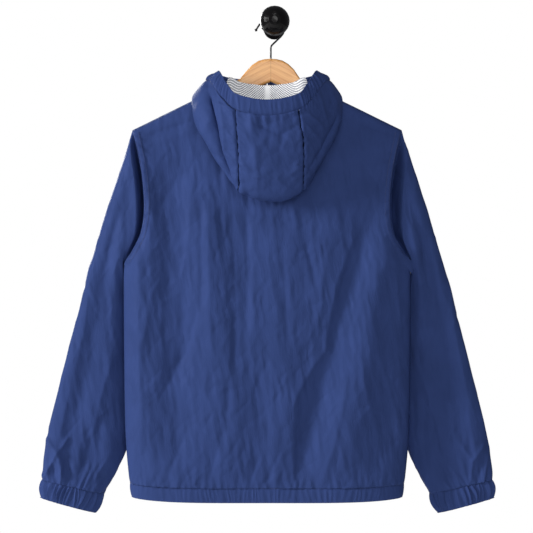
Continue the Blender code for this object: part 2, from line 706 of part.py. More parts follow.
def make_slider():
    # The slider follows the slope of the front, so it has a turned empty of its own.
    slope = (zip_line(SLIDER_Z - 10) - zip_line(SLIDER_Z + 10)) / 20.0
    place = bpy.data.objects.new("zip_place", None)
    model.objects.link(place)
    place.parent = garment
    face = zip_line(SLIDER_Z) + 1.2 + CLOTH + SEAM + 0.3
    place.location = (0.0, face * MM, SLIDER_Z * MM)
    place.rotation_euler = (math.atan(slope), 0.0, 0.0)
    slider = block("zip_slider", SLIDER, zip_metal, place, model, edge=0.9)
    for vertex in slider.data.vertices:
        vertex.co.y += SLIDER[1] / 2 * MM
    arch = []
    for step in range(13):
        turn = math.pi * step / 12
        arch.append((0.0, SLIDER[1] - 1.0 + (BRIDGE_RISE + 0.2) * math.sin(turn) ** 0.6,
                     BRIDGE_HALF * math.cos(turn)))
    bridge = curve_mesh("slider_bridge", poly_curve("bridge", arch, BRIDGE_WIRE), zip_metal,
                        place, cutter_collection)
    boolean(slider, bridge, "UNION")
    hinge = bpy.data.objects.new("pull_hinge", None)
    model.objects.link(hinge)
    hinge.parent = place
    hinge.location = (0.0, (SLIDER[1] + PULL_AXIS_OUT - BRIDGE_WIRE) * MM, 0.0)
    pull = block("zip_pull", (PULL_WIDTH, PULL_THICK, PULL_LENGTH), zip_metal, hinge, model)
    for vertex in pull.data.vertices:
        vertex.co.z += (PULL_THICK / 2 - PULL_LENGTH / 2) * MM
    window = block("pull_window", (PULL_WINDOW[0], PULL_THICK * 3, PULL_WINDOW[1]), zip_metal,
                   hinge, cutter_collection)
    for vertex in window.data.vertices:
        vertex.co.z -= (PULL_THICK / 2 + PULL_WINDOW[1] / 2) * MM
    boolean(pull, window, "DIFFERENCE")
    bevel = pull.modifiers.new("Edges", "BEVEL")
    bevel.width = 0.3 * MM
    bevel.segments = 1


# Hanger and peg

def arm_top(x):
    """Top edge of the wood at one place across."""
    dome = read_curve(DOME, abs(x - STEM_X))
    under_cloth = shoulder_line(x) - ARM_DROP
    if abs(x - STEM_X) < DOME[-1][0] - 14:
        return dome
    share = ease((abs(x - STEM_X) - DOME[-1][0] + 14) / 24)
    return dome + (under_cloth - dome) * share


def arm_bottom(x):
    """Lower edge of the wood: the notch below the stem, then along under the shoulder."""
    away = abs(x - STEM_X)
    share = away / (ARM_END_X + STEM_X)
    height = ARM_HEIGHT[0] + (ARM_HEIGHT[1] - ARM_HEIGHT[0]) * share
    below = shoulder_line(x) - ARM_DROP - height
    notch = NOTCH_TOP_Z - NOTCH_SLOPE * away
    return notch + (min(below, notch) - notch) * ease((away - NOTCH_HALF) / 40.0)


def arm_section(x, top, bottom, half):
    """Rounded section of the wood at one place across."""
    turns = [math.radians(90 - 30 * step) for step in range(4)]
    right = [(half * math.cos(turn), top - half + half * math.sin(turn)) for turn in turns]
    right += [(half * math.cos(turn), bottom + WOOD_UNDER - WOOD_UNDER * math.sin(turn))
              for turn in turns[::-1]]
    left = [(-y, z) for y, z in right[-2:0:-1]]
    return [(x, y, z) for y, z in right + left]


def make_hanger():
    for name, sign in (("hanger_arm_left", -1), ("hanger_arm_right", 1)):
        start, end = STEM_X + sign * SEAM / 2, sign * ARM_END_X
        rings = []
        for share in ARM_STATIONS:
            x = start + (end - start) * share
            rings.append(arm_section(x, arm_top(x), arm_bottom(x), WOOD_THICK / 2))
        tip = end + sign * 4.0
        rings.append(arm_section(tip, arm_top(tip) - 5.0, arm_bottom(tip) + 4.0, WOOD_THICK / 3))
        around = len(rings[0])
        mesh = bpy.data.meshes.new(name)
        faces = [[i * around + j, i * around + (j + 1) % around,
                  (i + 1) * around + (j + 1) % around, (i + 1) * around + j]
                 for i in range(len(rings) - 1) for j in range(around)]
        faces.append(list(range(around))[::-1])
        faces.append([(len(rings) - 1) * around + j for j in range(around)])
        if sign > 0:
            faces = [face[::-1] for face in faces]
        points = [tuple(value * MM for value in point) for ring in rings for point in ring]
        mesh.from_pydata(points, [], faces)
        mesh.shade_smooth()
        mesh.set_sharp_from_angle(angle=math.radians(50))
        add_object(name, mesh, beech, garment, model)


def make_hook():
    start, end = (math.radians(angle) for angle in HOOK_ARC)
    centre_x, centre_z = HOOK_CENTRE
    tail = Vector((centre_x + HOOK_RADIUS * math.cos(start), centre_z + HOOK_RADIUS * math.sin(start)))
    away = Vector((-math.sin(start), math.cos(start)))
    points = [tail + away * HOOK_TAIL * share for share in (1.0, 0.93, 0.86, 0.78, 0.4)]
    swell = [0.7, HOOK_TIP_SWELL, HOOK_TIP_SWELL, 1.0, 1.0]
    arc_steps = 22
    for step in range(arc_steps + 1):
        turn = start + (end - start) * step / arc_steps
        points.append(Vector((centre_x + HOOK_RADIUS * math.cos(turn),
                              centre_z + HOOK_RADIUS * math.sin(turn))))
    bend = Vector(HOOK_BEND)
    points += [bend, Vector((STEM_X + 0.7, bend.y - 2.0)), Vector((STEM_X, bend.y - 4.5)),
               Vector((STEM_X, DOME[0][1] + SEAM))]
    swell += [1.0] * (len(points) - len(swell))
    route = [(point.x, 0.0, point.y) for point in points]
    curve_mesh("hanger_hook", poly_curve("hook_wire", route, WIRE, swell=swell), black_wire,
               garment, model)


def make_peg():
    neck = math.asin(ROD_RADIUS / BALL_RADIUS)
    profile = []
    for step in range(15):
        turn = (math.pi - neck) * step / 14
        profile.append((BALL_RADIUS * math.sin(turn), BALL_CENTRE + BALL_RADIUS * math.cos(turn)))
    profile += [(ROD_RADIUS, FLANGE_THICK + 3.0), (ROD_RADIUS + 1.0, FLANGE_THICK + 0.8),
                (ROD_RADIUS + 3.0, FLANGE_THICK), (FLANGE_RADIUS - 1.0, FLANGE_THICK),
                (FLANGE_RADIUS, FLANGE_THICK - 1.0), (FLANGE_RADIUS, 0.0), (0.0, 0.0)]
    profile[0] = (0.0, profile[0][1])
    mesh = bpy.data.meshes.new("wall_peg")
    mesh.from_pydata([(x * MM, 0.0, z * MM) for x, z in profile],
                     [(i, i + 1) for i in range(len(profile) - 1)], [])
    peg = add_object("wall_peg", mesh, black_gloss, None, model)
    peg.rotation_euler = (math.pi / 2, 0.0, 0.0)
    turned = peg.modifiers.new("Turned", "SCREW")
    turned.steps = turned.render_steps = PEG_SIDES
    turned.use_merge_vertices = True
    turned.merge_threshold = 0.00001


make_body()
make_hem()
for word, way in (("left", -1), ("right", 1)):
    make_sleeve("sleeve_" + word, way)
    make_cuff("cuff_" + word, way)
make_hood()
make_casing()
make_lining()
make_zip()
make_slider()
make_hanger()
make_hook()
make_peg()
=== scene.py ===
import math

import bpy
import numpy as np
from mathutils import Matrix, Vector


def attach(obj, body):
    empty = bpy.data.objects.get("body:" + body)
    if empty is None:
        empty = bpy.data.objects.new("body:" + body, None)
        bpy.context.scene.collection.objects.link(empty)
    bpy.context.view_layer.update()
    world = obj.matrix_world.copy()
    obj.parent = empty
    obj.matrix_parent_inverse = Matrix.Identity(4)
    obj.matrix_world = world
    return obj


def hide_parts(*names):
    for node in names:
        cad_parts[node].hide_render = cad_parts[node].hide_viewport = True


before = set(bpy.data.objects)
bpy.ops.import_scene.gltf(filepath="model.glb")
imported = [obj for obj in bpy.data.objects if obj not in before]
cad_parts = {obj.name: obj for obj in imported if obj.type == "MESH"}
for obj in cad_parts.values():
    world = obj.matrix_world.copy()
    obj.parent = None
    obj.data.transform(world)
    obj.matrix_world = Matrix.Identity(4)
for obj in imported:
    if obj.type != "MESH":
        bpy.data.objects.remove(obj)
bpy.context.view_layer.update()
print("stage: frame loaded")

mm = 0.001
jacketPlace = np.array((-12.6, -75.0, 4.5))  # the jacket's own zero in the frame, mm
body = "jacket"
sides = (("Left", -1), ("Right", 1))


# Curves, noise and creases

def readCurve(rows, at, column=1):
    xs = np.array([row[0] for row in rows], float)
    ys = np.array([row[column] for row in rows], float)
    slopes = np.empty(len(xs))
    slopes[1:-1] = (ys[2:] - ys[:-2]) / (xs[2:] - xs[:-2])
    slopes[0] = (ys[1] - ys[0]) / (xs[1] - xs[0])
    slopes[-1] = (ys[-1] - ys[-2]) / (xs[-1] - xs[-2])
    at = np.clip(at, xs[0], xs[-1])
    i = np.clip(np.searchsorted(xs, at, side="right") - 1, 0, len(xs) - 2)
    span = xs[i + 1] - xs[i]
    u = (at - xs[i]) / span
    return (ys[i] + (ys[i + 1] - ys[i]) * (3 * u**2 - 2 * u**3)
            + slopes[i] * span * (u**3 - 2 * u**2 + u) + slopes[i + 1] * span * (u**3 - u**2))


def ease(value):
    value = np.clip(value, 0.0, 1.0)
    return value * value * (3 - 2 * value)


def noise(x, y, size, seed):
    # smooth random height from -1 to 1, in lumps about size mm across
    lattice = np.random.default_rng(seed).uniform(-1, 1, (61, 67))
    u, v = x / size, y / size
    i, j = np.floor(u).astype(int), np.floor(v).astype(int)
    fu, fv = ease(u - i), ease(v - j)

    def corner(a, b):
        return lattice[(i + a) % 61, (j + b) % 67]

    low = corner(0, 0) * (1 - fu) + corner(1, 0) * fu
    high = corner(0, 1) * (1 - fu) + corner(1, 1) * fu
    return low * (1 - fv) + high * fv


def pointed(across, width):
    # a ridge that comes to a soft point, as stiff thin cloth folds
    return np.exp(-(np.sqrt(across**2 + 1.4) - 1.18) / (0.62 * width))


def creases(x, z, table, profile=pointed):
    # columns: start x, z, end x, z, bow, width on the left, width on the right, height
    total = np.zeros_like(x)
    for x0, z0, x1, z1, bow, left, right, height in table:
        length = math.hypot(x1 - x0, z1 - z0)
        along = ((x - x0) * (x1 - x0) + (z - z0) * (z1 - z0)) / length
        share = np.clip(along / length, 0, 1)
        across = ((z - z0) * (x1 - x0) - (x - x0) * (z1 - z0)) / length - bow * 4 * share * (1 - share)
        width = np.where(across < 0, left, right)
        fadeLength = min(70.0, 0.6 * length)
        fade = ease(along / fadeLength + 0.5) * ease((length - along) / fadeLength + 0.5)
        total += height * fade * profile(across, width)
    return total


def rounded(across, width):
    return np.exp(-(across / width) ** 2)


def crinkles(x, z, spec, seed):
    # many short soft creases about one direction, each its own length, width and height
    rng = np.random.default_rng(seed)
    total = np.zeros_like(x)
    x0, x1, z0, z1 = x.min(), x.max(), z.min(), z.max()
    for k in range(spec["count"]):
        cx, cz = rng.uniform(x0, x1), rng.uniform(z0, z1)
        angle = math.radians(rng.normal(spec["angle"], spec["spread"]))
        length = rng.uniform(*spec["length"])
        width = rng.uniform(*spec["width"])
        height = rng.choice((-1, 1)) * rng.uniform(*spec["height"])
        near = (np.abs(x - cx) < length) & (np.abs(z - cz) < length)
        if not near.any():
            continue
        dx, dz = x[near] - cx, z[near] - cz
        along = dx * math.sin(angle) + dz * math.cos(angle)
        across = dx * math.cos(angle) - dz * math.sin(angle)
        across = across - 0.12 * length * np.sin(along / length * rng.uniform(1, 4))
        lean = np.where(across < 0, width, width * rng.uniform(0.5, 1.6))
        total[near] += height * pointed(across, lean) * ease(1.4 - np.abs(along) / length * 2)
    return total


def puckers(along, away, spec, seed):
    # short gathers that start at a seam and die out: along the seam, away from it, mm
    rng = np.random.default_rng(seed)
    total = np.zeros_like(along)
    at = along.min()
    while at < along.max():
        gap = rng.uniform(0.6, 1.5) * spec["gap"]
        reach = rng.uniform(*spec["reach"])
        height = rng.uniform(0.5, 1.2) * spec["height"]
        lean = rng.normal(spec.get("lean", 0.0), 0.25)
        near = (np.abs(along - at) < gap * 2 + reach * 1.2) & (away < reach)
        across = (along[near] - at - lean * away[near]) / (gap * 0.42)
        total[near] += height * np.exp(-across**2) * (1 - ease(away[near] / reach))
        at += gap
    return total


# Paths and directions

def unit(vectors):
    return vectors / np.maximum(np.linalg.norm(vectors, axis=-1, keepdims=True), 1e-9)


def runAlong(path):
    # mm from the start of a path to each of its points
    return np.concatenate([[0], np.cumsum(np.linalg.norm(np.diff(path, axis=0), axis=1))])


def pathAt(at, run, path):
    # a path's points, or the directions listed along it, at so many mm
    return np.stack([np.interp(at, run, path[:, k]) for k in range(3)], axis=-1)


def normalsOf(points, closed=False):
    rows = np.gradient(points, axis=0)
    if closed:
        columns = (np.roll(points, -1, axis=1) - np.roll(points, 1, axis=1)) / 2
    else:
        columns = np.gradient(points, axis=1)
    return unit(np.cross(columns, rows))


# Making pieces

dressed = bpy.data.collections.new("dressed_jacket")
bpy.context.scene.collection.children.link(dressed)


def gridFaces(rows, columns, closed, flip):
    i = np.arange(rows - 1)[:, None] * columns
    j = np.arange(columns if closed else columns - 1)[None, :]
    k = (j + 1) % columns
    faces = np.stack([i + j, i + k, i + columns + k, i + columns + j], axis=-1).reshape(-1, 4)
    return (faces[:, ::-1] if flip else faces).tolist()


def addMesh(name, points, faces, finish, smooth=True):
    mesh = bpy.data.meshes.new(name)
    mesh.from_pydata(((points.reshape(-1, 3) + jacketPlace) * mm).tolist(), [], faces)
    mesh.materials.append(finish)
    if smooth:
        mesh.shade_smooth()
    piece = bpy.data.objects.new(name, mesh)
    dressed.objects.link(piece)
    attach(piece, body)
    return piece


def addUv(piece, spots):
    # spots: one place a vertex on the flat cloth, in mm
    mesh = piece.data
    layer = mesh.uv_layers.new(name="cloth")
    corner = np.empty(len(mesh.loops), dtype=np.int32)
    mesh.loops.foreach_get("vertex_index", corner)
    flat = spots.reshape(-1, 2) * mm
    layer.data.foreach_set("uv", flat[corner].astype(np.float32).ravel())


def thicken(piece, thickness):
    bpy.ops.object.select_all(action="DESELECT")
    bpy.context.view_layer.objects.active = piece
    piece.select_set(True)
    wall = piece.modifiers.new("Wall", "SOLIDIFY")
    wall.thickness = thickness * mm
    wall.offset = 0.0
    bpy.ops.object.modifier_apply(modifier=wall.name)


def clothSheet(name, points, finish, uv, closed=False, flip=False, thickness=0.35):
    # points: a grid of rows and columns, mm; folded casings and the mesh take no thickness
    rows, columns = points.shape[:2]
    piece = addMesh(name, points, gridFaces(rows, columns, closed, flip), finish)
    addUv(piece, uv)
    if thickness:
        thicken(piece, thickness)
    return piece


def stitchRow(path, outward, length, gap, width, height):
    # one low box a stitch, thinner at its ends, along a path; returns points and faces
    run = runAlong(path)
    starts = np.arange(0, run[-1] - length, length + gap)
    a, b = pathAt(starts, run, path), pathAt(starts + length, run, path)
    out = pathAt(starts + length / 2, run, outward)
    ahead = unit(b - a)
    side = np.cross(ahead, out) * width / 2
    quarter = ahead * length / 4
    corners = []
    for base, lift in ((a, 0.25), (a + quarter, 1.0), (b - quarter, 1.0), (b, 0.25)):
        middle = base + out * height * lift
        corners += [middle + side, middle - side, middle - out * height]
    ring = [(0, 1, 2)]
    for k in range(3):
        for m in range(3):
            ring.append((3 * k + m, 3 * k + 3 + m, 3 * k + 3 + (m + 1) % 3, 3 * k + (m + 1) % 3))
    ring.append((11, 10, 9))
    faces = [[12 * n + v for v in face] for n in range(len(starts)) for face in ring]
    return np.stack(corners, axis=1).reshape(-1, 3), faces


def joinRows(name, rows, finish):
    faces, start = [], 0
    for spots, polygons in rows:
        faces += [[v + start for v in face] for face in polygons]
        start += len(spots)
    points = np.concatenate([spots for spots, polygons in rows])
    addMesh(name, points, faces, finish, smooth=False)


# Materials

def colour(text):
    # sRGB hex to linear, with full alpha
    parts = [int(text[k:k + 2], 16) / 255 for k in (1, 3, 5)]
    return (*[c / 12.92 if c <= 0.04045 else ((c + 0.055) / 1.055) ** 2.4 for c in parts], 1.0)


def addNode(tree, kind, inputs=None, output=0, **settings):
    # adds a node with its links, and returns the output that is read
    node = tree.nodes.new("ShaderNode" + kind)
    for key, value in settings.items():
        setattr(node, key, value)
    for key, value in (inputs or {}).items():
        if isinstance(value, bpy.types.NodeSocket):
            tree.links.new(value, node.inputs[key])
        else:
            node.inputs[key].default_value = value
    return node.outputs[output]


def newMaterial(name, **values):
    made = bpy.data.materials.new(name)
    made.use_nodes = True
    for key, value in values.items():
        made.node_tree.nodes["Principled BSDF"].inputs[key.replace("_", " ")].default_value = value
    return made


nylonFinish = {  # sizes in m
    "cloth": "#37487B", "deep": "#2E3D69", "lumps": 0.05,  # two shades and the size of their patches
    "lean": 8.0, "drift": 0.03, "warp": 0.006,  # tilt of the facets, degrees, and how they wander
    "fold": (0.013, 0.055), "foldHeight": 0.0026,  # facets, across and along
    "line": 0.02, "lineHeight": 0.00009, "patch": 0.045,  # thin sharp creases, in patches
    "slub": (0.0022, 0.06), "slubHeight": 0.0003,
    "weave": 0.0006, "weaveHeight": 0.00004,  # drawn coarser than the real weave, so that it can show
}


def makeNylon(name, spec):
    # plain woven nylon taffeta, dyed: soft facets about upright, fine slubs and a faint weave
    made = newMaterial(name, Roughness=0.5, Specular_IOR_Level=0.05, Specular_Tint=colour("#7F97F0"))
    tree, surface = made.node_tree, made.node_tree.nodes["Principled BSDF"].inputs
    place = addNode(tree, "TexCoord", output="Object")
    turned = addNode(tree, "Mapping", {"Vector": place, "Rotation": (0, math.radians(spec["lean"]), 0)})
    drift = addNode(tree, "TexNoise", {"Vector": turned, "Scale": 1 / spec["drift"], "Detail": 2}, "Color")
    drift = addNode(tree, "VectorMath", {0: drift, 1: (0.5, 0.5, 0.5)}, operation="SUBTRACT")
    drift = addNode(tree, "VectorMath", {0: drift, 1: (spec["warp"] * 2,) * 3}, operation="MULTIPLY")
    warped = addNode(tree, "VectorMath", {0: turned, 1: drift}, operation="ADD")

    lumps = addNode(tree, "TexNoise", {"Vector": place, "Scale": 1 / spec["lumps"], "Detail": 3}, "Fac")
    shade = addNode(tree, "Mix", {0: lumps, 6: colour(spec["cloth"]), 7: colour(spec["deep"])}, 2,
                    data_type="RGBA")
    tree.links.new(shade, surface["Base Color"])

    wide, tall = spec["fold"]
    folds = addNode(tree, "Mapping", {"Vector": warped, "Scale": (1 / wide, 1 / wide * 0.4, 1 / tall)})
    folds = addNode(tree, "TexVoronoi", {"Vector": folds, "Scale": 1, "Smoothness": 0.6}, "Distance",
                    feature="SMOOTH_F1")
    wide, tall = spec["slub"]
    slubs = addNode(tree, "Mapping", {"Vector": warped, "Scale": (1 / wide, 1 / wide, 1 / tall)})
    slubs = addNode(tree, "TexNoise", {"Vector": slubs, "Scale": 1, "Detail": 2}, "Fac")
    threads = [addNode(tree, "TexWave", {"Vector": place, "Scale": 0.05 / spec["weave"]}, "Fac",
                       bands_direction=axis) for axis in ("X", "Z")]
    weave = addNode(tree, "Math", {0: threads[0], 1: threads[1]}, operation="MULTIPLY")
    # thin creases lie where a slow noise crosses its middle
    lines = addNode(tree, "Mapping", {"Vector": warped, "Scale": (1, 1, 0.16)})
    lines = addNode(tree, "TexNoise", {"Vector": lines, "Scale": 1 / spec["line"], "Detail": 3,
                                       "Roughness": 0.6}, "Fac")
    lines = addNode(tree, "Math", {0: lines, 1: 0.5}, operation="SUBTRACT")
    lines = addNode(tree, "Math", {0: lines}, operation="ABSOLUTE")
    lines = addNode(tree, "MapRange", {"Value": lines, "From Max": 0.028, "To Min": 1, "To Max": 0},
                    interpolation_type="SMOOTHSTEP")
    patches = addNode(tree, "TexNoise", {"Vector": place, "Scale": 1 / spec["patch"], "Detail": 1}, "Fac")
    patches = addNode(tree, "MapRange", {"Value": patches, "From Min": 0.42, "From Max": 0.62})
    lines = addNode(tree, "Math", {0: lines, 1: patches}, operation="MULTIPLY")

    relief = {}
    for height, size, strength in ((folds, "foldHeight", 1.0), (lines, "lineHeight", 1.0),
                                   (slubs, "slubHeight", 1.0), (weave, "weaveHeight", 0.4)):
        relief["Normal"] = addNode(tree, "Bump", {**relief, "Height": height, "Distance": spec[size],
                                                  "Strength": strength})
    tree.links.new(relief["Normal"], surface["Normal"])
    return made


nylon = makeNylon("blue nylon taffeta", nylonFinish)
casingNylon = makeNylon("gathered blue nylon taffeta", {
    **nylonFinish, "fold": (0.009, 0.02), "foldHeight": 0.0009, "line": 0.014})
hoodNylon = makeNylon("soft folded blue nylon taffeta", {
    **nylonFinish, "fold": (0.017, 0.026), "lean": 20.0})
# spun polyester threads: the seams' is near black with no shine and reads as a dark line, partly the
# thread's own colour and partly painted seam shade; the topstitching's a faint sheen
seamThreadAndShade = newMaterial("near black sewing thread and painted seam shade", Roughness=1.0, Base_Color=colour("#070B18"),
                         Specular_IOR_Level=0.0)
topThread = newMaterial("blue polyester thread", Roughness=0.55, Base_Color=colour("#2A3868"))

# paintedGlow: emission on the white threads, painted light
netFinish = {"pitch": 0.0038, "thread": "#FFFFFF", "hole": "#585D72", "paintedGlow": 0.13, "relief": 0.0006,
             "seam": 0.0008, "plain": (0.002, 0.007)}  # m; the plain strip's middle and where it ends


def makeNet(spec):
    # knitted and bleached polyester: dark diamond holes in bright white, plain at the middle seam; the
    # white threads also glow a little, painted light that brightens them in the hood's shade
    # the holes are drawn as coarse as they need to show
    made = newMaterial("white polyester mesh", Roughness=0.8, Emission_Color=colour(spec["thread"]),
                       Emission_Strength=spec["paintedGlow"])
    tree, surface = made.node_tree, made.node_tree.nodes["Principled BSDF"].inputs
    spot = addNode(tree, "UVMap", uv_map="cloth")
    parts = addNode(tree, "SeparateXYZ", {"Vector": spot}).node.outputs
    across, along = (addNode(tree, "Math", {0: parts[axis], 1: math.pi / spec["pitch"]},
                             operation="MULTIPLY") for axis in ("X", "Y"))
    slants = [addNode(tree, "Math", {0: across, 1: along}, operation=way) for way in ("ADD", "SUBTRACT")]
    waves = [addNode(tree, "Math", {0: slant}, operation="SINE") for slant in slants]
    waves = addNode(tree, "Math", {0: waves[0], 1: waves[1]}, operation="MULTIPLY")
    waves = addNode(tree, "Math", {0: waves}, operation="ABSOLUTE")
    hole = addNode(tree, "MapRange", {"Value": waves, "From Min": 0.26, "From Max": 0.60})
    middle = addNode(tree, "Math", {0: parts["X"], 1: spec["seam"]}, operation="SUBTRACT")
    middle = addNode(tree, "Math", {0: middle}, operation="ABSOLUTE")
    aside = addNode(tree, "MapRange", {"Value": middle, "From Min": spec["plain"][0],
                                       "From Max": spec["plain"][1], "To Min": 0.25})
    hole = addNode(tree, "Math", {0: hole, 1: aside}, operation="MULTIPLY")
    shade = addNode(tree, "Mix", {0: hole, 6: colour(spec["thread"]), 7: colour(spec["hole"])}, 2,
                    data_type="RGBA")
    # painted light: the white threads glow, the holes don't
    paintedGlow = addNode(tree, "Math", {0: hole, 1: -spec["paintedGlow"], 2: spec["paintedGlow"]}, operation="MULTIPLY_ADD")
    relief = addNode(tree, "Bump", {"Height": hole, "Distance": spec["relief"], "Strength": -0.6})
    for key, value in (("Base Color", shade), ("Emission Strength", paintedGlow), ("Normal", relief)):
        tree.links.new(value, surface[key])
    return made


net = makeNet(netFinish)

woodFinish = {"dark": "#D38D45", "light": "#F3BA76", "pores": "#D9A266", "mitre": -0.0063, "slope": 0.50,
              "grain": (14, 60, 230), "fine": (90, 600, 1500)}  # streaks in a metre along X, Y and Z


def makeWood(spec):
    # beech, sanded and varnished: long grain that meets at the mitre, fine pores, satin shine
    made = newMaterial("varnished beech", Roughness=0.36, Coat_Weight=0.25, Coat_Roughness=0.25)
    tree, surface = made.node_tree, made.node_tree.nodes["Principled BSDF"].inputs
    place = addNode(tree, "TexCoord", output="Object")
    parts = addNode(tree, "SeparateXYZ", {"Vector": place}).node.outputs
    away = addNode(tree, "Math", {0: parts["X"], 1: -spec["mitre"]}, operation="ADD")
    away = addNode(tree, "Math", {0: away}, operation="ABSOLUTE")
    rise = addNode(tree, "Math", {0: away, 1: spec["slope"], 2: parts["Z"]}, operation="MULTIPLY_ADD")
    run = addNode(tree, "CombineXYZ", {"X": away, "Y": parts["Y"], "Z": rise})
    broad = addNode(tree, "Mapping", {"Vector": run, "Scale": spec["grain"]})
    broad = addNode(tree, "TexNoise", {"Vector": broad, "Scale": 1, "Detail": 4, "Distortion": 0.6}, "Fac")
    fine = addNode(tree, "Mapping", {"Vector": run, "Scale": spec["fine"]})
    fine = addNode(tree, "TexNoise", {"Vector": fine, "Scale": 1, "Detail": 2}, "Fac")
    ramp = addNode(tree, "ValToRGB", {"Fac": broad})
    stops = ramp.node.color_ramp.elements
    stops[0].position, stops[0].color = 0.3, colour(spec["dark"])
    stops[1].position, stops[1].color = 0.62, colour(spec["light"])
    pores = addNode(tree, "Mix", {0: fine, 6: ramp, 7: colour(spec["pores"])}, 2, data_type="RGBA",
                    blend_type="MULTIPLY")
    shade = addNode(tree, "Mix", {0: 0.22, 6: ramp, 7: pores}, 2, data_type="RGBA")
    tree.links.new(shade, surface["Base Color"])
    relief = addNode(tree, "Bump", {"Height": fine, "Distance": 0.00008, "Strength": 0.4})
    tree.links.new(relief, surface["Normal"])
    return made


wood = makeWood(woodFinish)
print("stage: materials")


# Body

neck = {"x": 95.0, "z": -121.0, "back": -140.0, "front": -195.0}
shoulder = {"x": 228.0, "z": -186.2}
underarmZ, hemSeamZ, hemZ, cornerRise, zipEdge = -414.0, -791.5, -816.0, 6.0, 7.3
sideEdge = (  # height, half width
    (-816.0, 229.0), (-791.5, 231.0), (-776.0, 234.0), (-713.0, 239.5),
    (-645.0, 241.5), (-500.0, 243.0), (-414.0, 243.3),
)
armhole = (  # share down the armhole, half width at the back, at the front
    (0.0, 228.0, 228.0), (0.075, 224.0, 221.0), (0.185, 218.0, 213.0), (0.33, 211.5, 205.0),
    (0.47, 208.0, 201.0), (0.58, 207.0, 200.0), (0.69, 209.0, 202.0), (0.8, 215.5, 210.0),
    (0.91, 229.0, 226.0), (1.0, 243.3, 243.3),
)
drape = (  # drop below the shoulder line, half depth
    (0.0, 0.0), (4.0, 8.2), (10.0, 10.6), (30.0, 15.0), (60.0, 22.0), (110.0, 33.0),
    (180.0, 42.0), (260.0, 45.0), (500.0, 45.0), (745.0, 38.0),
)
# large folds: start x, z, end x, z, bow, width on the left, width on the right, height
backFolds = (
    (-222, -330, -215, -700, 0, 16, 16, 7),
    (-168, -250, -150, -740, 0, 26, 26, -9),
    (-95, -330, -60, -770, 0, 34, 34, 6),
    (20, -350, 30, -770, 0, 30, 30, 5),
    (172, -330, 45, -775, 0, 24, 24, -9),
    (205, -390, 120, -770, 0, 26, 26, 6),
    (198, -420, 205, -740, 0, 20, 20, -4),
)
frontFolds = (
    (200, -330, 190, -720, 0, 26, 26, -7),
    (150, -260, 110, -760, 0, 30, 30, 6),
    (70, -260, 45, -740, 0, 24, 24, -6),
    (-198, -350, -160, -760, 0, 26, 26, -7),
    (-130, -240, -120, -700, 0, 30, 30, 6),
    (-75, -300, -40, -760, 0, 22, 22, -5),
)
# creases seen on the back, same columns
backCreases = (
    (88, -366, 84, -520, 6, 7, 16, 2.6),
    (150, -360, 96, -560, -8, 12, 9, 3.2),
    (96, -560, 44, -650, -4, 12, 8, 3.4),
    (44, -650, 44, -772, 0, 12, 7, 3.2),
    (132, -620, 96, -772, 4, 14, 8, 2.6),
    (66, -385, 82, -452, 0, 6, 10, -2.4),
    (188, -575, 224, -690, 2, 5, 9, 1.8),
    (158, -585, 176, -680, 0, 5, 8, 1.4),
    (-148, -190, -146, -400, 0, 50, 110, -7.0),
    (-146, -400, -146, -600, 0, 50, 110, -8.0),
    (-112, -310, -112, -480, 0, 20, 12, -3.6),
    (-198, -300, -196, -470, 0, 12, 20, 3.5),
    (-78, -240, -72, -420, 0, 22, 14, -2.6),
    (-34, -310, -34, -520, 0, 26, 14, -3.8),
    (26, -330, 34, -560, 0, 26, 9, -2.6),
    (150, -250, 120, -380, 0, 30, 26, -3.0),
    (-120, -170, -200, -196, 0, 6, 9, -2.6),
    (-118, -184, -180, -204, 0, 7, 8, 2.0),
    (140, -168, 206, -192, 0, 8, 6, -2.4),
    (-150, -268, -190, -330, 0, 9, 9, -1.8),
    (-128, -270, -146, -440, 4, 10, 16, 1.6),
    (-122, -500, -180, -640, 6, 12, 9, -2.8),
    (-60, -300, -54, -600, 3, 12, 20, -3.2),
    (-98, -300, -92, -560, -3, 9, 9, 2.2),
    (-24, -330, -22, -560, 0, 10, 13, 2.0),
    (-64, -620, -72, -712, 2, 11, 7, -3.0),
    (-78, -705, -98, -778, 0, 12, 8, -2.6),
    (-134, -690, -168, -776, 0, 10, 7, -2.4),
    (-16, -740, -28, -782, 0, 9, 6, -2.2),
    (22, -728, 0, -780, 0, 9, 6, -2.4),
    (-204, -640, -196, -760, 2, 6, 10, 1.8),
    (-200, -480, -216, -560, 3, 5, 8, 1.6),
    (-226, -440, -214, -470, 0, 7, 7, 1.8),
    (170, -260, 204, -300, 0, 8, 8, -1.6),
    (104, -300, 132, -360, 0, 16, 16, 1.6),
    (8, -320, 12, -420, 0, 5, 7, 1.2),
    (44, -320, 52, -400, 0, 6, 8, 1.4),
    (216, -430, 226, -520, 0, 6, 8, 1.6),
)
fineCrinkles = {"count": 820, "angle": 6, "spread": 24, "length": (14, 62), "width": (1.8, 5.0),
                "height": (0.24, 0.80)}
armDepth = {"most": 28.0, "power": 0.6}  # half depth of the open armhole, and how soon it opens
topPower, sidePower = 6.0, {-1: 4.8, 1: 2.4}  # how square the section is: at the shoulders; back, front
bodyRelief = {  # mm
    "hem": {"gap": 7.0, "reach": (7, 30), "height": 2.2},  # puckers above the hem
    "rim": {"gap": 9, "reach": (12, 30), "height": 1.7, "lean": 0.3},  # puckers along the armholes
    "bandWidth": 11, "bandHeight": 1.0,  # turned cloth along the armholes
    "ripples": (0.16, 8.0), "swells": (1.1, 36.0),  # height and size
    "stand": 0.7,  # how far the cloth stands off the solid
}


def shoulderLine(x):
    return neck["z"] + (np.abs(x) - neck["x"]) * (shoulder["z"] - neck["z"]) / (shoulder["x"] - neck["x"])


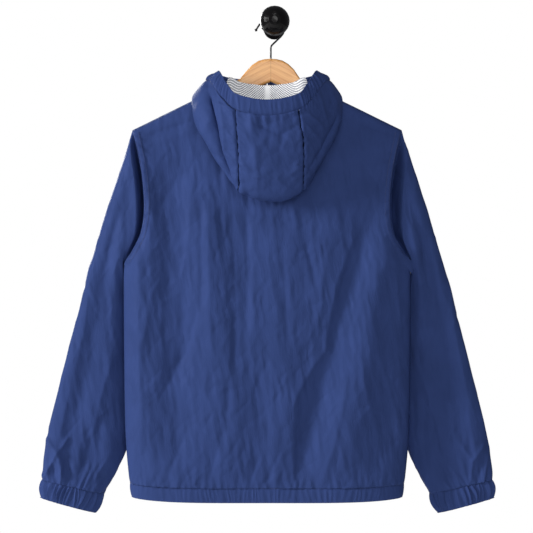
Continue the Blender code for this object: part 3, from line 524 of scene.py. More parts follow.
def topEdge(x, side):
    low, power = (neck["back"], 2.2) if side < 0 else (neck["front"], 2.6)
    curve = low + (neck["z"] - low) * np.minimum(np.abs(x) / neck["x"], 1.0) ** power
    return np.where(np.abs(x) >= neck["x"], shoulderLine(x), curve)


def armholeWidth(share, side):
    # half width of the body at a share down the armhole; side: -1 at the back, 1 at the front
    return readCurve(armhole, share, 1 if side < 0 else 2)


def armholeDepth(share):
    return armDepth["most"] * np.maximum(np.sin(math.pi * share), 0) ** armDepth["power"]


def hemRise(across):
    return cornerRise * np.abs(across) ** 4


def largeFolds(x, z, across, drop, side):
    # they die out towards the side edges and the shoulders
    height = creases(x, z, backFolds if side < 0 else frontFolds, rounded)
    return height * ease((1 - np.abs(across)) / 0.12) * ease(drop / 80)


def bodyPoints(across, down, side, inset=0.0):
    # across: -1 to 1; down: 0 at the shoulder, 1 at the underarm, 2 at the hem seam
    sign = np.where(across >= 0, 1, -1)
    share, lower = np.clip(down, 0, 1), np.clip(down - 1, 0, 1)
    topX = sign * inset + across * (shoulder["x"] - inset)
    z = underarmZ + (topEdge(topX, side) - underarmZ) * (1 - share)
    z = np.where(down > 1, underarmZ + (hemSeamZ + hemRise(across) - underarmZ) * lower, z)
    half = np.where(down > 1, readCurve(sideEdge, z), armholeWidth(share, side))
    x = sign * inset + across * (half - inset)
    edge = armholeDepth(share)
    drop = np.maximum(shoulderLine(x) - z, 0)
    power = topPower + (sidePower[side] - topPower) * share
    full = np.sqrt(np.maximum(1 - np.abs(across) ** power, 0))
    depth = edge + (readCurve(drape, drop) - edge) * full + largeFolds(x, z, across, drop, side)
    return np.stack([x, side * np.maximum(depth, 0.15), z], axis=-1)


def columnShares(half, edgeSteps, edgeWidth, step):
    # shares across a half panel, dense near its outer edge
    inner = np.arange(0, half - edgeWidth, step)
    outer = np.linspace(half - edgeWidth, half, edgeSteps + 1)
    return np.concatenate([inner, outer[inner[-1] > outer[0] - step * 0.4:]]) / half


def downShares(above, below):
    # shares down a panel: rows above and below the underarm
    return np.concatenate([np.linspace(0, 1, above, endpoint=False), np.linspace(1, 2, below)])


def dressBody(name, columns, downs, side, inset, seed, spec):
    across, down = np.meshgrid(columns, downs)
    points = bodyPoints(across, down, side, inset)
    x, z = points[..., 0], points[..., 2]
    inside, share = 1 - np.abs(across), np.clip(down, 0, 1)
    height = creases(x, z, spec["creases"]) * ease(inside / 0.1)
    height += crinkles(x, z, spec["crinkles"], seed) * ease(inside / 0.05)
    tall, size = bodyRelief["ripples"]
    height += tall * noise(x + 0.12 * z, z * 0.3, size, seed + 1) * ease(inside / 0.05)
    tall, size = bodyRelief["swells"]
    height += tall * noise(x + 0.10 * z, z * 0.5, size, seed + 2) * ease(inside / 0.05)
    fromHem = z - (hemSeamZ + hemRise(across))
    height += puckers(x, fromHem, bodyRelief["hem"], seed + 3) * ease(inside / 0.03)
    fromArm = np.where(down <= 1, armholeWidth(share, side) - np.abs(x), 60.0)
    band = ease((bodyRelief["bandWidth"] - fromArm) / 3) * ease(share * 30) * ease((1.0 - down) * 30)
    height += bodyRelief["bandHeight"] * band * ease(fromArm / 2.4)
    for sign in (-1, 1):
        on = (across * sign > 0) & (down <= 1)
        along, away = np.where(on, -z, 0.0), np.where(on, fromArm, 99.0)
        rim = puckers(along, away, bodyRelief["rim"], seed + 5 + sign)
        height += np.where(on, rim, 0) * ease(share * 12) * ease(fromArm / 3.5)
    outward = normalsOf(points)
    outward *= np.sign((outward[..., 1] * side).mean())
    # the relief fades at the shoulder line, where back and front meet
    rise = (height + bodyRelief["stand"]) * (0.1 + 0.9 * ease(down * 40))
    points = points + outward * rise[..., None]
    piece = clothSheet(name, points, nylon, np.stack([x, z], axis=-1), flip=side < 0)
    return piece, points, outward


half = columnShares(232.0, 18, 24.0, 2.9)
backColumns = np.concatenate([-half[:0:-1], half])
back, backPoints, backOut = dressBody("backPanel", backColumns, downShares(80, 134), -1, 0.0, 11, {
    "creases": backCreases, "crinkles": fineCrinkles})
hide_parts("back")


def alongArmhole(points, outward, side, sign, inside):
    # a line on a body panel, so far inside its armhole, with the panel's directions outwards
    share = np.linspace(0.03, 0.985, 150)
    z = underarmZ + (shoulder["z"] - underarmZ) * (1 - share)
    rows = np.clip(np.searchsorted(-points[:, 0, 2], -z), 0, len(points) - 1)
    path, out = [], []
    for row, reach in zip(rows, armholeWidth(share, side) - inside):
        order = np.argsort(points[row, :, 0])
        xs = points[row, order, 0]
        path.append(pathAt(sign * reach, xs, points[row, order]))
        out.append(pathAt(sign * reach, xs, outward[row, order]))
    return np.array(path), np.array(out)


topStitch = {"length": 2.4, "gap": 0.9, "width": 0.6, "height": 0.38}
rows = []
for sign in (-1, 1):
    for inside in (1.8, 8.5):
        path, out = alongArmhole(backPoints, backOut, -1, sign, inside)
        rows.append(stitchRow(path + out * 0.25, out, **topStitch))
joinRows("armholeStitches", rows, topThread)
print("stage: back")

frontCreases = (
    (120, -300, 60, -420, 6, 12, 9, 2.6),
    (90, -460, 60, -640, -4, 10, 14, 2.4),
    (180, -440, 160, -600, 4, 9, 12, -2.4),
    (40, -600, 30, -770, 0, 10, 8, 2.2),
    (130, -640, 112, -775, 3, 12, 8, -2.6),
    (-120, -300, -70, -430, -6, 9, 12, 2.6),
    (-150, -450, -120, -620, 4, 12, 9, -2.4),
    (-60, -470, -45, -650, 3, 12, 10, 2.2),
    (-190, -560, -196, -700, 0, 9, 9, 2.0),
    (-90, -650, -80, -775, -3, 9, 12, -2.4),
)
frontHalf = columnShares(232.0, 12, 24.0, 3.9)
fronts = {}
for word, sign in sides:
    columns = np.sort(sign * np.maximum(frontHalf, 1e-6))
    piece, points, outward = dressBody(
        "front" + word, columns, downShares(60, 98), 1, zipEdge, 31 + sign,
        {"creases": frontCreases, "crinkles": {**fineCrinkles, "count": 240}})
    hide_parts("front_" + word.lower())
    fronts[sign] = (points, outward)

# the turned edges inside the armholes, which close them to the sleeves
turnedEdge = {"length": 6.0, "gap": -1.5, "width": 7.0, "height": 0.5}
rows = []
for sign in (-1, 1):
    for side, panel in ((-1, (backPoints, backOut)), (1, fronts[sign])):
        path, out = alongArmhole(*panel, side, sign, 1.2)
        rows.append(stitchRow(path - out * 3.0, np.full(path.shape, (sign, 0.0, 0.0)), **turnedEdge))
joinRows("armholeSeams", rows, nylon)
print("stage: fronts")


# Gathered casings: a folded strip of cloth with elastic inside

def casingTube(name, outline, inwards, ahead, spec, seed, flip=False):
    # outline: (n, 2, 3) seam and free edge; inwards: unit vectors to the inside; ahead: mm along
    rng = np.random.default_rng(seed)
    wave = np.zeros(len(ahead))
    at = ahead[0]
    while at < ahead[-1]:
        gap = spec["gap"] * rng.uniform(0.55, 1.5)
        wave += rng.uniform(0.45, 1.15) * np.exp(-((ahead - at) / (gap * 0.31)) ** 2)
        at += gap
    lean = np.interp(ahead, np.linspace(ahead[0], ahead[-1], 40), rng.uniform(-1, 1, 40)) * spec["lean"]
    seamEdge, freeEdge = outline[:, 0], outline[:, 1]
    down, turn = freeEdge - seamEdge, spec["turn"]
    shares = np.linspace(0, 1, spec["steps"])
    profile = [("out", t) for t in shares] + [("turn", t) for t in (0.25, 0.5, 0.75)]
    profile += [("in", t) for t in shares[::-1]]
    grid = []
    for kind, t in profile:
        puff = spec["puff"] * math.sin(math.pi * t) ** 0.5
        rippled = spec["height"] * spec["fade"] * np.interp(ahead + lean * (t - 0.5), ahead, wave)
        rippled = rippled * (0.35 + 0.65 * math.sin(math.pi * min(t * 0.9 + 0.08, 1)))
        if kind == "out":
            grid.append(seamEdge + down * t - inwards * (puff + rippled)[:, None])
        elif kind == "turn":
            back = turn * (1 - math.cos(math.pi * t)) - rippled * (1 - t)
            grid.append(freeEdge + unit(down) * turn * math.sin(math.pi * t) + inwards * back[:, None])
        else:
            grid.append(seamEdge + down * t + inwards * (2 * turn + 0.6 * rippled + 0.4 * puff)[:, None])
    uv = np.stack(np.broadcast_arrays(ahead[None, :], np.arange(len(grid))[:, None] * 2.0), axis=-1)
    return clothSheet(name, np.array(grid), casingNylon, uv, flip=flip, thickness=0)


hemSpec = {"gap": 8.5, "lean": 9.0, "steps": 9, "puff": 0.8, "height": 0.9, "turn": 1.0, "fade": 1.0}


def hemOutline():
    # round the hem from the zip to the zip, with unit vectors to the inside
    quarter = np.sin(np.linspace(0, math.pi / 2, 165))
    zipShare = zipEdge / sideEdge[0][1]
    front = np.concatenate([[zipShare], quarter[quarter > zipShare]])
    across = np.concatenate([-front, -quarter[-2::-1], quarter[1:], front[-2::-1]])
    side = np.concatenate([np.ones(len(front)), -np.ones(len(quarter) * 2 - 2), np.ones(len(front) - 1)])
    power = np.where(side < 0, sidePower[-1], sidePower[1])
    full = np.sqrt(np.maximum(1 - np.abs(across) ** power, 0))
    lines = []
    for share in (0.01, 0.955):
        z = hemSeamZ + (hemZ - hemSeamZ) * share + hemRise(across)
        x = across * readCurve(sideEdge, z)
        drop = shoulderLine(x) - z
        folds = np.where(side < 0, *(largeFolds(x, z, across, drop, way) for way in (-1, 1)))
        depth = np.maximum(readCurve(drape, drop) * full + folds, 0.15)
        lines.append(np.stack([x, side * depth, z], axis=-1))
    sideways = lines[0][:, 0] / 240 * np.abs(across) ** 3
    out = np.stack([sideways, side * (1.05 - np.abs(across)), 0 * across], axis=-1)
    return np.stack(lines, axis=1), -unit(out)


def evenly(outline, ahead, count):
    # the same two edges at even steps; returns them with the mm along
    even = np.linspace(0, ahead[-1], count)
    return np.stack([pathAt(even, ahead, outline[:, k]) for k in (0, 1)], axis=1), even


outline, inwards = hemOutline()
ahead = runAlong(outline[:, 0])
outline, even = evenly(outline, ahead, 1050)
inwards = pathAt(even, ahead, inwards)
rows = [stitchRow(outline[:, 0] - inwards * 0.9 + (0, 0, 0.4), -inwards, **topStitch)]
joinRows("hemStitches", rows, topThread)
hem = casingTube("hemCasing", outline - inwards[:, None] * 0.6, inwards, even, hemSpec, 71)
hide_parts("hem_band")
print("stage: hem")


# Sleeves and cuffs

sleeveRings = (  # outer x, z, y, inner x, z, y, half depth, keep, valley
    (228.0, -186.2, 0.0, 243.3, -414.0, 0.0, 28.0, 1.0, 0.0),
    (235.5, -210.0, 0.5, 245.0, -416.5, 1.0, 29.0, 0.62, 6.0),
    (246.0, -242.3, 2.0, 246.0, -421.0, 3.0, 30.0, 0.36, 8.0),
    (258.0, -279.7, 5.0, 245.0, -428.0, 7.0, 30.0, 0.18, 4.0),
    (271.0, -322.0, 9.0, 242.5, -438.0, 12.5, 29.0, 0.06, 1.0),
    (286.5, -373.0, 13.0, 239.0, -455.0, 22.0, 27.0, 0.0, 0.0),
    (305.5, -433.0, 17.0, 231.0, -487.0, 34.0, 26.0, 0.0, 0.0),
    (320.0, -490.0, 20.0, 222.5, -526.0, 43.0, 25.0, 0.0, 0.0),
    (337.0, -549.5, 23.0, 219.0, -570.0, 47.0, 24.0, 0.0, 0.0),
    (352.0, -607.5, 25.0, 219.5, -621.0, 46.0, 23.0, 0.0, 0.0),
    (365.0, -659.0, 26.0, 224.5, -667.5, 43.0, 22.0, 0.0, 0.0),
    (375.5, -703.5, 26.0, 235.0, -710.5, 39.0, 20.0, 0.0, 0.0),
    (382.0, -746.5, 25.0, 250.5, -751.5, 32.0, 17.0, 0.0, 0.0),
    (382.5, -783.5, 24.0, 281.5, -807.0, 27.0, 13.5, 0.0, 0.0),
)
cuffEnd = (386.5, -815.0, 24.0, 295.5, -840.5, 26.0, 12.5)
sleeveFolds = (  # ring, share across, length in rings, half width as a share, height
    (4.5, 0.35, 3.0, 0.12, -5.0),
    (7.0, 0.62, 4.0, 0.13, 5.0),
    (9.5, 0.30, 3.5, 0.12, -5.0),
    (11.5, 0.60, 2.0, 0.12, -4.0),
)
# creases on each sleeve, as body creases; x counts outwards from the jacket's middle
sleeveCreases = {
    "Left": (
        (262, -300, 300, -460, 6, 8, 12, 1.8), (300, -420, 330, -600, -5, 8, 12, 1.6),
        (258, -560, 300, -720, 4, 10, 8, 1.8), (340, -640, 366, -760, 0, 8, 10, 1.8),
        (300, -700, 330, -790, -4, 9, 7, -2.4), (352, -740, 350, -790, 0, 6, 6, 2.2),
        (270, -740, 300, -800, 3, 8, 8, 2.0), (322, -720, 318, -800, 0, 7, 9, 2.0),
        (376, -714, 358, -738, 0, 6, 6, 4.4), (337, -708, 358, -738, 0, 5, 7, 4.4),
        (358, -736, 348, -784, 0, 6, 6, 4.6), (358, -736, 379, -776, 0, 5, 6, 3.8),
        (366, -752, 362, -782, 0, 5, 5, -3.6), (344, -744, 334, -776, 0, 6, 6, -3.4),
    ),
    "Right": (
        (262, -300, 296, -470, 5, 8, 12, 1.6), (310, -450, 344, -640, -4, 9, 12, 1.6),
        (262, -600, 306, -770, 5, 10, 8, 2.0), (346, -680, 362, -780, 0, 7, 9, 2.0),
        (316, -700, 336, -790, -3, 8, 7, -2.2), (286, -740, 310, -805, 2, 7, 8, 1.8),
        (330, -720, 350, -752, 0, 6, 7, 3.6), (350, -752, 346, -790, 0, 6, 6, 3.6),
        (372, -722, 350, -752, 0, 5, 6, 3.2), (362, -758, 366, -790, 0, 5, 5, -2.8),
    ),
}
fullness = 0.75  # below 1 the tube's section is fuller than an oval
frontGroove = 2.0
# the groove beside the armhole on the back: depth, width in rings, sharpness
armGroove = {"Left": (44.0, 0.62, 1.0), "Right": (40.0, 1.25, 0.4)}
sleeveRelief = {
    "crinkles": {**fineCrinkles, "count": 420, "angle": -14},
    "cuff": {"gap": 10.5, "reach": (20, 78), "height": 3.6},  # puckers above the cuff
    "ripples": (0.3, 9.0), "swells": (0.8, 34.0), "stand": 0.5,
    "tuck": (1.2, -3.6, 0.9),  # the sleeve's end: towards the body at the shoulder, at the underarm, sunk
}
cuffSpec = {"gap": 8.5, "lean": 7.0, "steps": 14, "puff": 1.0, "height": 6.4, "turn": 1.2, "fade": 1.0}


def ovalPoint(values, turn):
    # a point of a ring, its share from the outer edge to the inner one, and its side
    outerX, outerZ, outerY, innerX, innerZ, innerY, depth = values[:7]
    share = (1 - np.cos(turn)) / 2
    side = np.where(turn <= math.pi, -1.0, 1.0)
    power = np.where(side < 0, fullness + 0.4 * ease(share * 2 - 1), fullness)
    swell = np.abs(np.sin(turn)) ** power
    return np.stack([outerX + (innerX - outerX) * share,
                     outerY + (innerY - outerY) * share + side * depth * swell,
                     outerZ + (innerZ - outerZ) * share], axis=-1), share, side


def sleevePoints(ring, turn, depth=0.0, width=1.2, sharp=0.0):
    table = [(number,) + row for number, row in enumerate(sleeveRings)]
    values = [readCurve(table, ring, column) for column in range(1, 10)]
    points, share, side = ovalPoint(values, turn)
    # the first rings follow the armhole's edge on the body
    arm = np.stack([np.where(side < 0, armholeWidth(share, -1), armholeWidth(share, 1)),
                    side * armholeDepth(share),
                    shoulder["z"] + (underarmZ - shoulder["z"]) * share], axis=-1)
    keep = values[7] * (1 - 0.6 * ease((share - 0.75) / 0.25) * np.minimum(ring, 1))
    points = points + (arm - ovalPoint(sleeveRings[0], turn)[0]) * keep[..., None]
    middle = np.sin(math.pi * share) ** 2
    points[..., 1] -= side * values[8] * middle * np.where(side < 0, 1.0, 0.6)
    rise = (ring - 0.2) / width
    groove = ease(ring / 0.16) * (1 - ease(rise) * (1 - sharp) - np.clip(rise, 0, 1) * sharp)
    groove = groove * np.maximum(np.sin(math.pi * np.clip(share * 1.05, 0, 1)), 0) ** 0.8
    points[..., 1] -= side * groove * np.where(side < 0, depth, frontGroove)
    for foldRing, across, length, width, height in sleeveFolds:
        near = np.exp(-((ring - foldRing) / length) ** 2 * 2) * np.exp(-((share - across) / width) ** 2)
        points[..., 1] += side * height * near
    return points, share, side


def dressSleeve(word, sign, seed):
    dense = np.linspace(0, len(sleeveRings) - 1, 400)
    spine, _, _ = sleevePoints(dense, np.full(400, math.pi * 0.35))
    run = runAlong(spine)
    rings = np.interp(np.linspace(0, run[-1], 205), run, dense)
    turn, ring = np.meshgrid(np.linspace(0, 2 * math.pi, 160, endpoint=False), rings)
    points, share, side = sleevePoints(ring, turn, *armGroove[word])
    tuck = ease(1 - ring / 0.35) * ease(share / 0.09)
    atShoulder, atUnderarm, sunk = sleeveRelief["tuck"]
    points[..., 0] -= tuck * (atShoulder + (atUnderarm - atShoulder) * ease((share - 0.8) / 0.2))
    outward = normalsOf(points, closed=True)
    outward *= np.sign((outward[..., 1] * side).mean())
    x, z = points[..., 0], points[..., 2]
    height = creases(x, z, sleeveCreases[word]) * np.where(side < 0, 1.0, -0.8)
    height += crinkles(x + 200 * (side > 0), z, sleeveRelief["crinkles"], seed)
    tall, size = sleeveRelief["ripples"]
    height += tall * noise(x, z * 0.25, size, seed + 1)
    tall, size = sleeveRelief["swells"]
    height += tall * noise(x * side, z * 0.4, size, seed + 2)
    around = share * np.where(side < 0, 1, -1) * 130  # mm round the sleeve
    fromCuff = np.linalg.norm(points - points[-1:], axis=-1)
    height += puckers(around, fromCuff, sleeveRelief["cuff"], seed + 3)
    height *= ease(ring / 0.5)
    points = points + outward * (height + sleeveRelief["stand"] - sunk * tuck)[..., None]
    points[..., 0] *= sign
    uv = np.stack([turn * 75, z], axis=-1)
    piece = clothSheet("sleeve" + word, points, nylon, uv, closed=True, flip=sign < 0)
    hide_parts("sleeve_" + word.lower())


def dressCuff(word, sign, seed):
    turns = np.linspace(0, 2 * math.pi, 500)
    lines = []
    for share in (-0.02, 0.955):
        values = [a + (b - a) * share for a, b in zip(sleeveRings[-1], cuffEnd)]
        lines.append(ovalPoint(values, turns)[0])
    outline = np.stack(lines, axis=1)
    inwards = unit(outline[:, 0].mean(axis=0) - outline[:, 0])
    outline[..., 0] *= sign
    inwards[..., 0] *= sign
    ahead = runAlong(outline[:, 0])
    piece = casingTube("cuff" + word, outline, inwards, ahead, cuffSpec, seed, flip=sign > 0)
    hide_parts("cuff_" + word.lower())


for word, sign in sides:
    dressSleeve(word, sign, 101 + sign)
    dressCuff(word, sign, 141 + sign)

# a small fold of the seam at the right underarm; its first and last corner lie on the back
foldCorners = np.array([
    (219.0, 0, -386.0), (251.0, -9.0, -414.0), (246.5, -7.0, -431.0), (224.0, 0, -410.0)])
foldHeight = 2.6
for corner in (foldCorners[0], foldCorners[3]):
    near = np.hypot(backPoints[..., 0] - corner[0], backPoints[..., 2] - corner[2]).argmin()
    corner[1] = backPoints[..., 1].flat[near] - 0.2
u, v = (axis[..., None] for axis in np.meshgrid(np.linspace(0, 1, 20), np.linspace(0, 1, 14)))
foldPoints = ((foldCorners[0] * (1 - u) + foldCorners[1] * u) * (1 - v)
              + (foldCorners[3] * (1 - u) + foldCorners[2] * u) * v)
foldPoints[..., 1:2] -= foldHeight * np.sin(math.pi * u) * np.sin(math.pi * v)
fold = clothSheet("underarmFold", foldPoints, nylon, foldPoints[..., (0, 2)], flip=True)
print("stage: sleeves and cuffs")


# Hood

hoodRibs = (  # rib, fold over the neck, inner layer, edge, radius, outer layer, rim
    (0.0, (0, -30, -114), (0, -45, -200), (0, -70, -310), 14, (0, -104, -215), (0, -100, -144)),
    (0.3, (42, -31, -110), (50, -44, -190), (52, -66, -291), 14, (54, -98, -205), (50, -92, -134)),
    (0.5, (64, -33, -101), (82, -38, -162), (90, -52, -232), 11, (82, -82, -170), (66, -72, -116)),
    (0.68, (88, -6, -104), (108, -19, -127), (122, -37, -173), 8, (107, -54, -138), (81, -38, -91)),
    (0.75, (90, 8, -108), (107, -2, -115), (126, -17, -133), 6, (109, -34, -114), (85, -14, -90)),
    (0.8, (86, 17, -122), (99, 14, -113), (113, 7, -118), 5, (108, -4, -105), (91, 4, -93)),
    (0.86, (71, 26, -142), (80, 28, -126), (88, 28, -114), 4, (92, 26, -102), (88, 24, -90)),
    (0.92, (45, 34, -164), (49, 37, -147), (53, 39, -130), 3.5, (55, 39, -112), (55, 37, -96)),
    (1.0, (8, 38, -180), (5.5, 41, -160), (3.5, 43, -140), 3, (1.6, 43, -120), (0.9, 41, -98)),
)
hoodSeam, neckTurn = 0.3, 0.68  # ribs: at the panel seams, and where the neckline turns to the front
casingWidth, casingShare = 26.0, 0.18  # mm, and at most this share of a rib
hoodLean = {"strip": 6.5, "top": 2.5}  # mm
hoodRows, rowStep, ribStep = 150, 2.3, 175.0  # rows of a panel, mm from row to row, mm from rib 0 to 1


def neckPoints(ribs):
    # round the neckline: along the back, then down the front to the zip
    t = np.clip((ribs - neckTurn) / (1 - neckTurn), 0, 1)
    frontX = neck["x"] - (neck["x"] - zipEdge - 1.7) * t**1.6
    x = np.where(ribs <= neckTurn, neck["x"] * ribs / neckTurn, frontX)
    edges = []
    for side, inset in ((-1, 0.0), (1, zipEdge)):
        share = np.maximum((x - inset) / (shoulder["x"] - inset), 1e-6)
        edges.append(bodyPoints(share, 0 * share, side, inset))
    return np.where((ribs <= neckTurn)[:, None], *edges) + (0, 0, 0.8)


def ribPoints(ribs):
    # eight points on each rib, from the neckline over the edge to the rim
    size = np.abs(ribs)

    def read(column):
        out = []
        for axis in range(3):
            rows = [(row[0], row[column][axis]) for row in hoodRibs]
            sign = -1 if axis == 0 else 1
            mirrored = [(-a, sign * b) for a, b in rows[:0:-1]]
            out.append(readCurve(mirrored + rows, size))
        return np.stack(out, axis=-1)

    fold, inner, edge, outer, rim = (read(column) for column in (1, 2, 3, 5, 6))
    radius = readCurve([(row[0], row[4]) for row in hoodRibs], size)[:, None]
    inwards = (inner + outer) / 2 - edge
    inwards /= np.linalg.norm(inwards, axis=1, keepdims=True) + radius
    sideways = unit(inner - outer)
    edgeIn = edge + (inwards * 0.8 + sideways) * radius
    edgeOut = edge + (inwards * 0.8 - sideways) * radius
    points = np.stack([neckPoints(size), fold, inner, edgeIn, edge, edgeOut, outer, rim], axis=1)
    points[..., 0] *= np.where(ribs >= 0, 1, -1)[:, None]
    return points


def ribCurve(points, count=260):
    # a smooth curve through one rib's points: places 0 to 7, points and mm along
    places = np.linspace(0, 7, count)
    first = points[:1] - np.array((0, 0, np.linalg.norm(points[1] - points[0])))
    last = points[-1:] * 2 - points[-2:-1]
    spots = np.concatenate([first, points, last])
    i = np.minimum(places.astype(int), 6)
    p = [spots[i + k] for k in range(4)]
    knots = [np.zeros(count)]
    for k in range(3):
        knots.append(knots[-1] + np.maximum(np.linalg.norm(p[k + 1] - p[k], axis=1), 1e-6) ** 0.5)
    at = knots[1] + (knots[2] - knots[1]) * (places - i)

    def blend(a, b, start, end):
        return a + (b - a) * ((at - start) / (end - start))[:, None]

    lines = [blend(p[k], p[k + 1], knots[k], knots[k + 1]) for k in range(3)]
    bows = [blend(lines[k], lines[k + 1], knots[k], knots[k + 2]) for k in range(2)]
    curve = blend(bows[0], bows[1], knots[1], knots[2])
    return places, curve, runAlong(curve)


def lean(points):
    # the middle strip leans to the right lower down, and the bag's left shoulder draws in
    x, z = points[..., 0], points[..., 2]
    shift = hoodLean["strip"] * ease((-z - 150) / 85) * ease((x + 88) / 30)
    shift = shift + hoodLean["top"] * ease((z + 135) / 35) * ease((-x - 65) / 35)
    moved = points.copy()
    moved[..., 0] += shift
    return moved


def hoodSurface(ribs, rows):
    # a panel from the neckline to the casing, its points' places on the ribs, the casing's two edges
    grid, placeGrid, edges = [], [], []
    for points in ribPoints(ribs):
        places, curve, run = ribCurve(points)
        curve = lean(curve)
        at = np.linspace(0, run[-1] - min(casingWidth, run[-1] * casingShare), rows)
        grid.append(pathAt(at, run, curve))
        placeGrid.append(np.interp(at, run, places))
        edges.append([grid[-1][-1], curve[-1]])
    return np.array(grid).transpose(1, 0, 2), np.array(placeGrid).T, np.array(edges)


def hoodOutward(points, places):
    # directions outwards: the outer layer, about place 5.5, faces the back
    outward = normalsOf(points)
    middle = points.shape[1] // 2
    row = np.argmin(np.abs(places[:, middle] - 5.5))
    return outward * -np.sign(outward[row, middle, 1])


def outerLayer(places):
    # 0 on the inner layer, 1 on the outer one
    return ease((places - 4.1) / 0.6)


# creases on the hood's outer layer, same columns as the body's
hoodCreases = (
    (-100, -100, -96, -145, 0, 8, 5, -15.0),
    (-96, -145, -88, -190, 0, 8, 5, -20.0),
    (-88, -190, -77, -235, 0, 8, 4, -20.0),
    (-77, -235, -65, -268, 0, 5, 4, -13.0),
    (-65, -268, -48, -300, 0, 5, 4, -9.0),
    (-80, -140, -70, -225, 3, 12, 12, 5.0),
    (117, -172, 90, -226, 0, 5, 4, -4.4),
    (90, -226, 67, -262, 0, 5, 4, -3.7),
    (-24, -150, -22, -215, -3, 13, 48, 5.0),
    (-22, -215, -16, -290, 3, 13, 42, 4.5),
    (-22, -182, 22, -202, 0, 7, 9, -3.1),
    (22, -202, 50, -186, 0, 9, 6, -3.1),
    (-38, -196, -20, -252, 4, 6, 8, 2.7),
    (-44, -246, -26, -262, 0, 5, 6, 3.4),
    (-50, -286, -36, -296, 0, 6, 6, 4.1),
    (-30, -268, 30, -284, 4, 8, 10, 2.7),
    (34, -268, 58, -250, 0, 7, 7, 2.7),
    (-2, -232, 40, -240, 0, 8, 8, 1.7),
    (62, -170, 92, -190, 4, 5, 8, 3.1),
    (64, -186, 84, -206, 0, 5, 6, 2.0),
    (84, -128, 98, -178, 0, 6, 8, 3.1),
    (-78, -150, -52, -176, 4, 6, 8, 2.7),
    (-70, -220, -56, -246, 0, 6, 7, 3.1),
    (-96, -112, -88, -178, 0, 8, 5, 3.4),
)

hoodRelief = {
    "crinkles": {**fineCrinkles, "count": 230, "spread": 50, "length": (8, 30), "height": (0.2, 0.8)},
    "seam": {"gap": 9, "reach": (8, 26), "height": 2.3, "lean": -0.3},  # puckers at the panel seams
    "rim": {"gap": 9, "reach": (10, 34), "height": 2.4},  # gathers at the casing
    "groove": 2.4, "swells": (0.8, 26.0), "stand": 0.7,
}


def dressHood(name, ribs, node, seed):
    points, places, edges = hoodSurface(ribs, hoodRows)
    outward = hoodOutward(points, places)
    x, z = points[..., 0], points[..., 2]
    height = creases(x, z, hoodCreases) * outerLayer(places)
    height += crinkles(x, z, hoodRelief["crinkles"], seed) * outerLayer(places)
    tall, size = hoodRelief["swells"]
    height += tall * noise(x, z, size, seed + 1) * ease(places / 1.5)
    fromNeck = np.arange(hoodRows)[:, None] * rowStep + 0 * x
    fromSeam = np.abs(np.abs(ribs) - hoodSeam)[None, :] * ribStep + 0 * x
    groove = hoodRelief["groove"] * np.exp(-(fromSeam / 2.0) ** 2)
    for sign in (-1, 1):
        on = (ribs * sign > 0)[None, :] & (fromSeam < 60)
        along, away = np.where(on, fromNeck, 0), np.where(on, fromSeam, 99)
        tug = puckers(along, away, hoodRelief["seam"], seed + 7 + sign)
        height += np.where(on, (tug - groove) * ease(places - 3), 0)
    gatherAt = edges[:, 1, 0] * 1.3 + edges[:, 1, 1] + 0 * x
    height += puckers(gatherAt, fromNeck[::-1], hoodRelief["rim"], seed + 4) * ease(places - 4)
    # calm where the cloth is pulled over the hanger
    tight = ease((np.abs(ribs) - 0.50) / 0.07) * (1 - ease((np.abs(ribs) - 0.86) / 0.06))
    height *= ease(places / 0.4) * (1 - 0.95 * tight[None, :] * ease((z + 140) / 22))
    points = points + outward * (height + hoodRelief["stand"])[..., None]
    uv = np.stack([ribs * ribStep + 0 * x, fromNeck], axis=-1)
    piece = clothSheet(name, points, hoodNylon, uv, flip=True)
    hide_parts(node)


shy = 0.0004  # the panels stop so many ribs short of a seam
centreRibs = np.linspace(-hoodSeam + shy, hoodSeam - shy, 44)
sideRibs = np.linspace(hoodSeam + shy, 1.0, 96)
dressHood("hoodCentre", centreRibs, "hood_centre", 201)
for word, sign in sides:
    dressHood("hoodSide" + word, np.sort(sign * sideRibs), "hood_side_" + word.lower(), 220 + sign)

casingSpec = {"gap": 8.5, "lean": 8.0, "steps": 12, "puff": 0.7, "height": 3.2, "turn": 1.0}
allRibs = np.concatenate([-sideRibs[::-1], np.linspace(-hoodSeam, hoodSeam, 44), sideRibs])
_, _, outline = hoodSurface(allRibs, 4)
outline, even = evenly(outline, runAlong(outline[:, 1]), 620)
inwards = unit(np.cross(np.gradient(outline[:, 1], axis=0), outline[:, 1] - outline[:, 0]))
inwards *= np.sign(inwards[len(even) // 2, 1])
fromMiddle = np.abs(even / even[-1] - 0.5) * 2
casingSpec["fade"] = 0.25 + 1.1 * ease((fromMiddle - 0.1) / 0.25)  # calm at the middle of the back
casing = casingTube("hoodCasing", outline - inwards[:, None] * 0.7, inwards, even, casingSpec, 261,
                    flip=True)
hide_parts("hood_casing")

seamWander = ((4.2, 1.6, 9), (19.0, 2.0, 40))  # mm: spacing, swing aside, run beyond the end
seamStitch = {"length": 4.2, "gap": -0.8, "width": 2.2, "height": 0.6}
# seamShadow: a near-black strip under the thread that closes the gap between the panels and paints the
# seam's shadow
seamShadow = {"length": 6.0, "gap": -1.5, "width": 6.0, "height": 0.3}  # closes the gap under the thread


